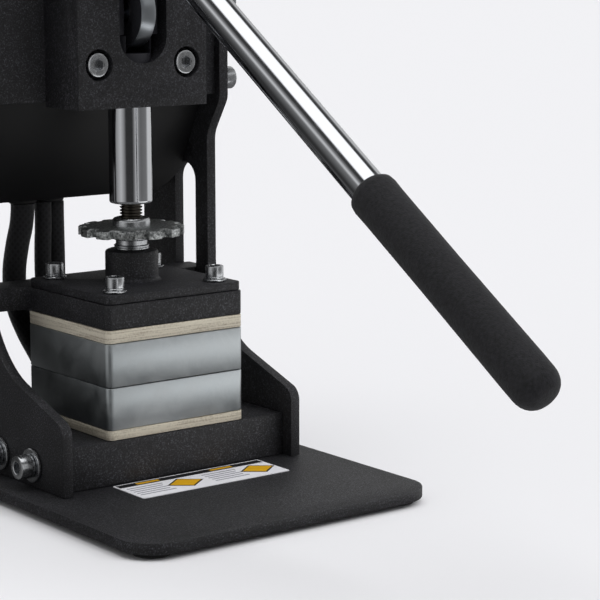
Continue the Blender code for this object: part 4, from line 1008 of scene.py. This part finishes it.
def cover():
    """Rear cover with openings for the switch and the buttons."""
    corner = 18 * MM
    bm = sheet("Y", COVER_LOW.y, COVER_HIGH.y,
               [(COVER_LOW.x, COVER_LOW.z, corner), (COVER_HIGH.x, COVER_LOW.z, corner),
                (COVER_HIGH.x, COVER_HIGH.z, MM), (COVER_LOW.x, COVER_HIGH.z, MM)], 0)
    low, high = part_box("power_switch")
    room = Vector((0.5, 5, 1.5)) * MM
    tools = [slab(low - room, high + room, 0, 0)]
    for way in ("up", "down"):
        low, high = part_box(f"temperature_{way}_button")
        centre = (low + high) / 2
        tools.append(bar_tool((centre.x, COVER_LOW.y - MM, centre.z), (0, 1, 0), 4.5 * MM, 5 * MM))
    return break_edges(carved(bm, *tools), 0.3 * MM)


fitted("coated_rear_cover", cover(), BLACK_COAT, "frame", "powder_coat", "control_cover")

SMOKED = new_material("smoked acrylic", "#0c0c0e", roughness=0.06)
low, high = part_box("display_window")
fitted("smoked_display", slab(low, high, 1.5 * MM, 0.3 * MM, "Y"), SMOKED, "frame", "display_glass",
       "display_window")
low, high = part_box("power_inlet")
centre = (low + high) / 2
inlet = slab(low, high, 1.5 * MM, 0.4 * MM, "Y")
recess = slab((low.x + 3 * MM, high.y - 9 * MM, low.z + 3 * MM), (high.x - 3 * MM, high.y + MM, high.z - 3 * MM),
              2 * MM, 0, "Y")
fitted("moulded_power_inlet", carved(inlet, recess), PLASTIC, "frame", "black_plastic", "power_inlet")
for number, offset in enumerate((-6 * MM, 0, 6 * MM), 1):
    blade = slab((centre.x + offset - MM, high.y - 9.5 * MM, centre.z - 2 * MM),
                 (centre.x + offset + MM, high.y - 2 * MM, centre.z + 2 * MM), 0.3 * MM, 0.2 * MM, "Y")
    fitted(f"inlet_blade_{number}", blade, ZINC, "frame", "black_plastic")
for way in ("up", "down"):
    low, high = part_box(f"temperature_{way}_button")
    centre = (low + high) / 2
    length = high.y - low.y
    button = turned([(0, 0), (4 * MM, 0), (4 * MM, length - 0.9 * MM), (3.7 * MM, length - 0.3 * MM),
                     (3 * MM, length), (1.5 * MM, length - 0.25 * MM), (0, length - 0.3 * MM)])
    fitted(f"moulded_{way}_button", aimed(button, (centre.x, low.y, centre.z), (0, 1, 0)), PLASTIC,
           f"button_{way}", "black_plastic", f"temperature_{way}_button")


def rocker():
    """Rocker key: a shallow vee whose lower half lies flat."""
    low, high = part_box("power_switch")
    middle = (low.z + high.z) / 2
    outer = COVER_HIGH.y
    return sheet("X", low.x, high.x, [
        (outer + 4 * MM, high.z, 0), (outer + 2.2 * MM, middle, 0), (outer + 2.2 * MM, low.z, 0),
        (outer - 1.5 * MM, low.z + 1.4 * MM, 0), (outer - 3 * MM, middle, 0),
        (outer - 1.5 * MM, high.z - 1.4 * MM, 0)], 0.3 * MM)


fitted("rocker_key", rocker(), PLASTIC, "switch", "black_plastic", "power_switch")

for level in ("upper", "lower"):
    low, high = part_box(f"{level}_cable_gland")
    centre = (low + high) / 2
    rings = [(7.2 * MM, 0), (8.4 * MM, 0.8 * MM), (8.4 * MM, 2 * MM), (5 * MM, 2 * MM),
             (5 * MM, high.z - low.z), (4.2 * MM, high.z - low.z), (4.2 * MM, 0)]
    gland = turned(rings, 48)
    fitted(f"{level}_screwed_gland", aimed(gland, (centre.x, centre.y, low.z)), PLASTIC, "frame",
           "black_plastic", f"{level}_cable_gland")


# ---- Heater leads ------------------------------------------------------------------------
# Each heater's wires run from its gland to its rod in a braided glass-fibre sleeve. The upper
# pair spans the fixed housing and the moving ram, and is built as one fixed shape.
def braid():
    """Black braided sleeving: crossing strands about 1.2 mm wide, dull and a little fuzzy."""
    material = new_material("braided sleeving", "#1c1c1e", roughness=0.85, Sheen_Weight=0.3)
    shader = material.node_tree.nodes["Principled BSDF"]
    place = node(material, "ShaderNodeTexCoord").outputs["Object"]
    strands = []
    for turn in (0.7, -0.7):
        slanted = node(material, "ShaderNodeMapping", {"Vector": place, "Rotation": (turn, turn, 0.0)})
        wave = node(material, "ShaderNodeTexWave", {"Vector": slanted.outputs[0], "Scale": 130.0,
                                                    "Distortion": 0.4}, bands_direction="Z")
        strands.append(wave.outputs["Fac"])
    weave = node(material, "ShaderNodeMath", {0: strands[0], 1: strands[1]}, operation="MAXIMUM")
    tint = colour_ramp(material, weave.outputs[0], [(0.3, hex_colour("#0a0a0c")), (0.8, hex_colour("#1b1b1e"))])
    bump = node(material, "ShaderNodeBump", {"Height": weave.outputs[0], "Strength": 0.4, "Distance": 0.3 * MM})
    material.node_tree.links.new(tint, shader.inputs["Base Color"])
    material.node_tree.links.new(bump.outputs["Normal"], shader.inputs["Normal"])
    return material


BRAID = braid()


def sleeve(name, route, radius):
    """Sleeved wire along a smooth line through its route, as a mesh."""
    curve = bpy.data.curves.new(name, "CURVE")
    curve.dimensions = "3D"
    curve.bevel_depth = radius
    curve.bevel_resolution = 6
    curve.use_fill_caps = True
    spline = curve.splines.new("BEZIER")
    spline.bezier_points.add(len(route) - 1)
    for knot, spot in zip(spline.bezier_points, route):
        knot.co = spot
        knot.handle_left_type = knot.handle_right_type = "AUTO"
    spline.resolution_u = 10
    held = shown(bpy.data.objects.new(name, curve))
    tube = bpy.data.meshes.new_from_object(held.evaluated_get(bpy.context.evaluated_depsgraph_get()))
    bm = bmesh.new()
    bm.from_mesh(tube)
    bpy.data.objects.remove(held)
    bpy.data.curves.remove(curve)
    bpy.data.meshes.remove(tube)
    bmesh.ops.remove_doubles(bm, verts=bm.verts, dist=1e-6)
    bmesh.ops.recalc_face_normals(bm, faces=bm.faces)
    return bm


GLAND_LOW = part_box("upper_cable_gland")[0].z
UPPER_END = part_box("upper_cartridge_heater")[1]
LOWER_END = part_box("lower_cartridge_heater")[1]
UPPER_Z = (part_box("upper_cartridge_heater")[0].z + UPPER_END.z) / 2
LOWER_Z = (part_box("lower_cartridge_heater")[0].z + LOWER_END.z) / 2


def upper_lead(x, end_x, end_z, lean):
    """Route of one upper lead, from the gland down behind the carriage to the platen's back."""
    points = [(x, 72, 148.4), (x, 72, 136), (x + lean, 72.5, 120), (x + lean, 72.5, 104), (x, 72, 92),
              ((x + end_x) / 2, 68, 82), (end_x, 60, end_z + 1.2), (end_x, 50, end_z), (end_x, 43, end_z)]
    return [(a * MM, RAM_Y + b * MM, c * MM) for a, b, c in points]


for number, (x, end_x, end_z, lean) in enumerate(((-13.6, -12.6, 74.2, -0.4), (-5.2, -5.6, 73.6, 0.4)), 1):
    wire = sleeve("lead", upper_lead(x, end_x, end_z, lean), 4.9 * MM)
    lead = fitted(f"upper_sleeved_lead_{number}", wire, BRAID, None, "lead_sleeve", "upper_heater_lead", crease=80)
    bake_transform(lead)

lower_route = [(-27, 72, 148.4), (-27, 72, 145.4), (-27.8, 72.2, 137), (-30.5, 73, 124), (-32, 74.5, 107),
               (-30, 75, 90), (-25, 74, 75.5), (-20, 70.5, 63), (-17.8, 63.5, 54), (-17, 54, 50.45), (-17, 43, 50.45)]
fitted("lower_sleeved_lead", sleeve("lead", [(a * MM, RAM_Y + b * MM, c * MM) for a, b, c in lower_route], 6.8 * MM),
       BRAID, "frame", "lead_sleeve", "lower_heater_lead", crease=80)
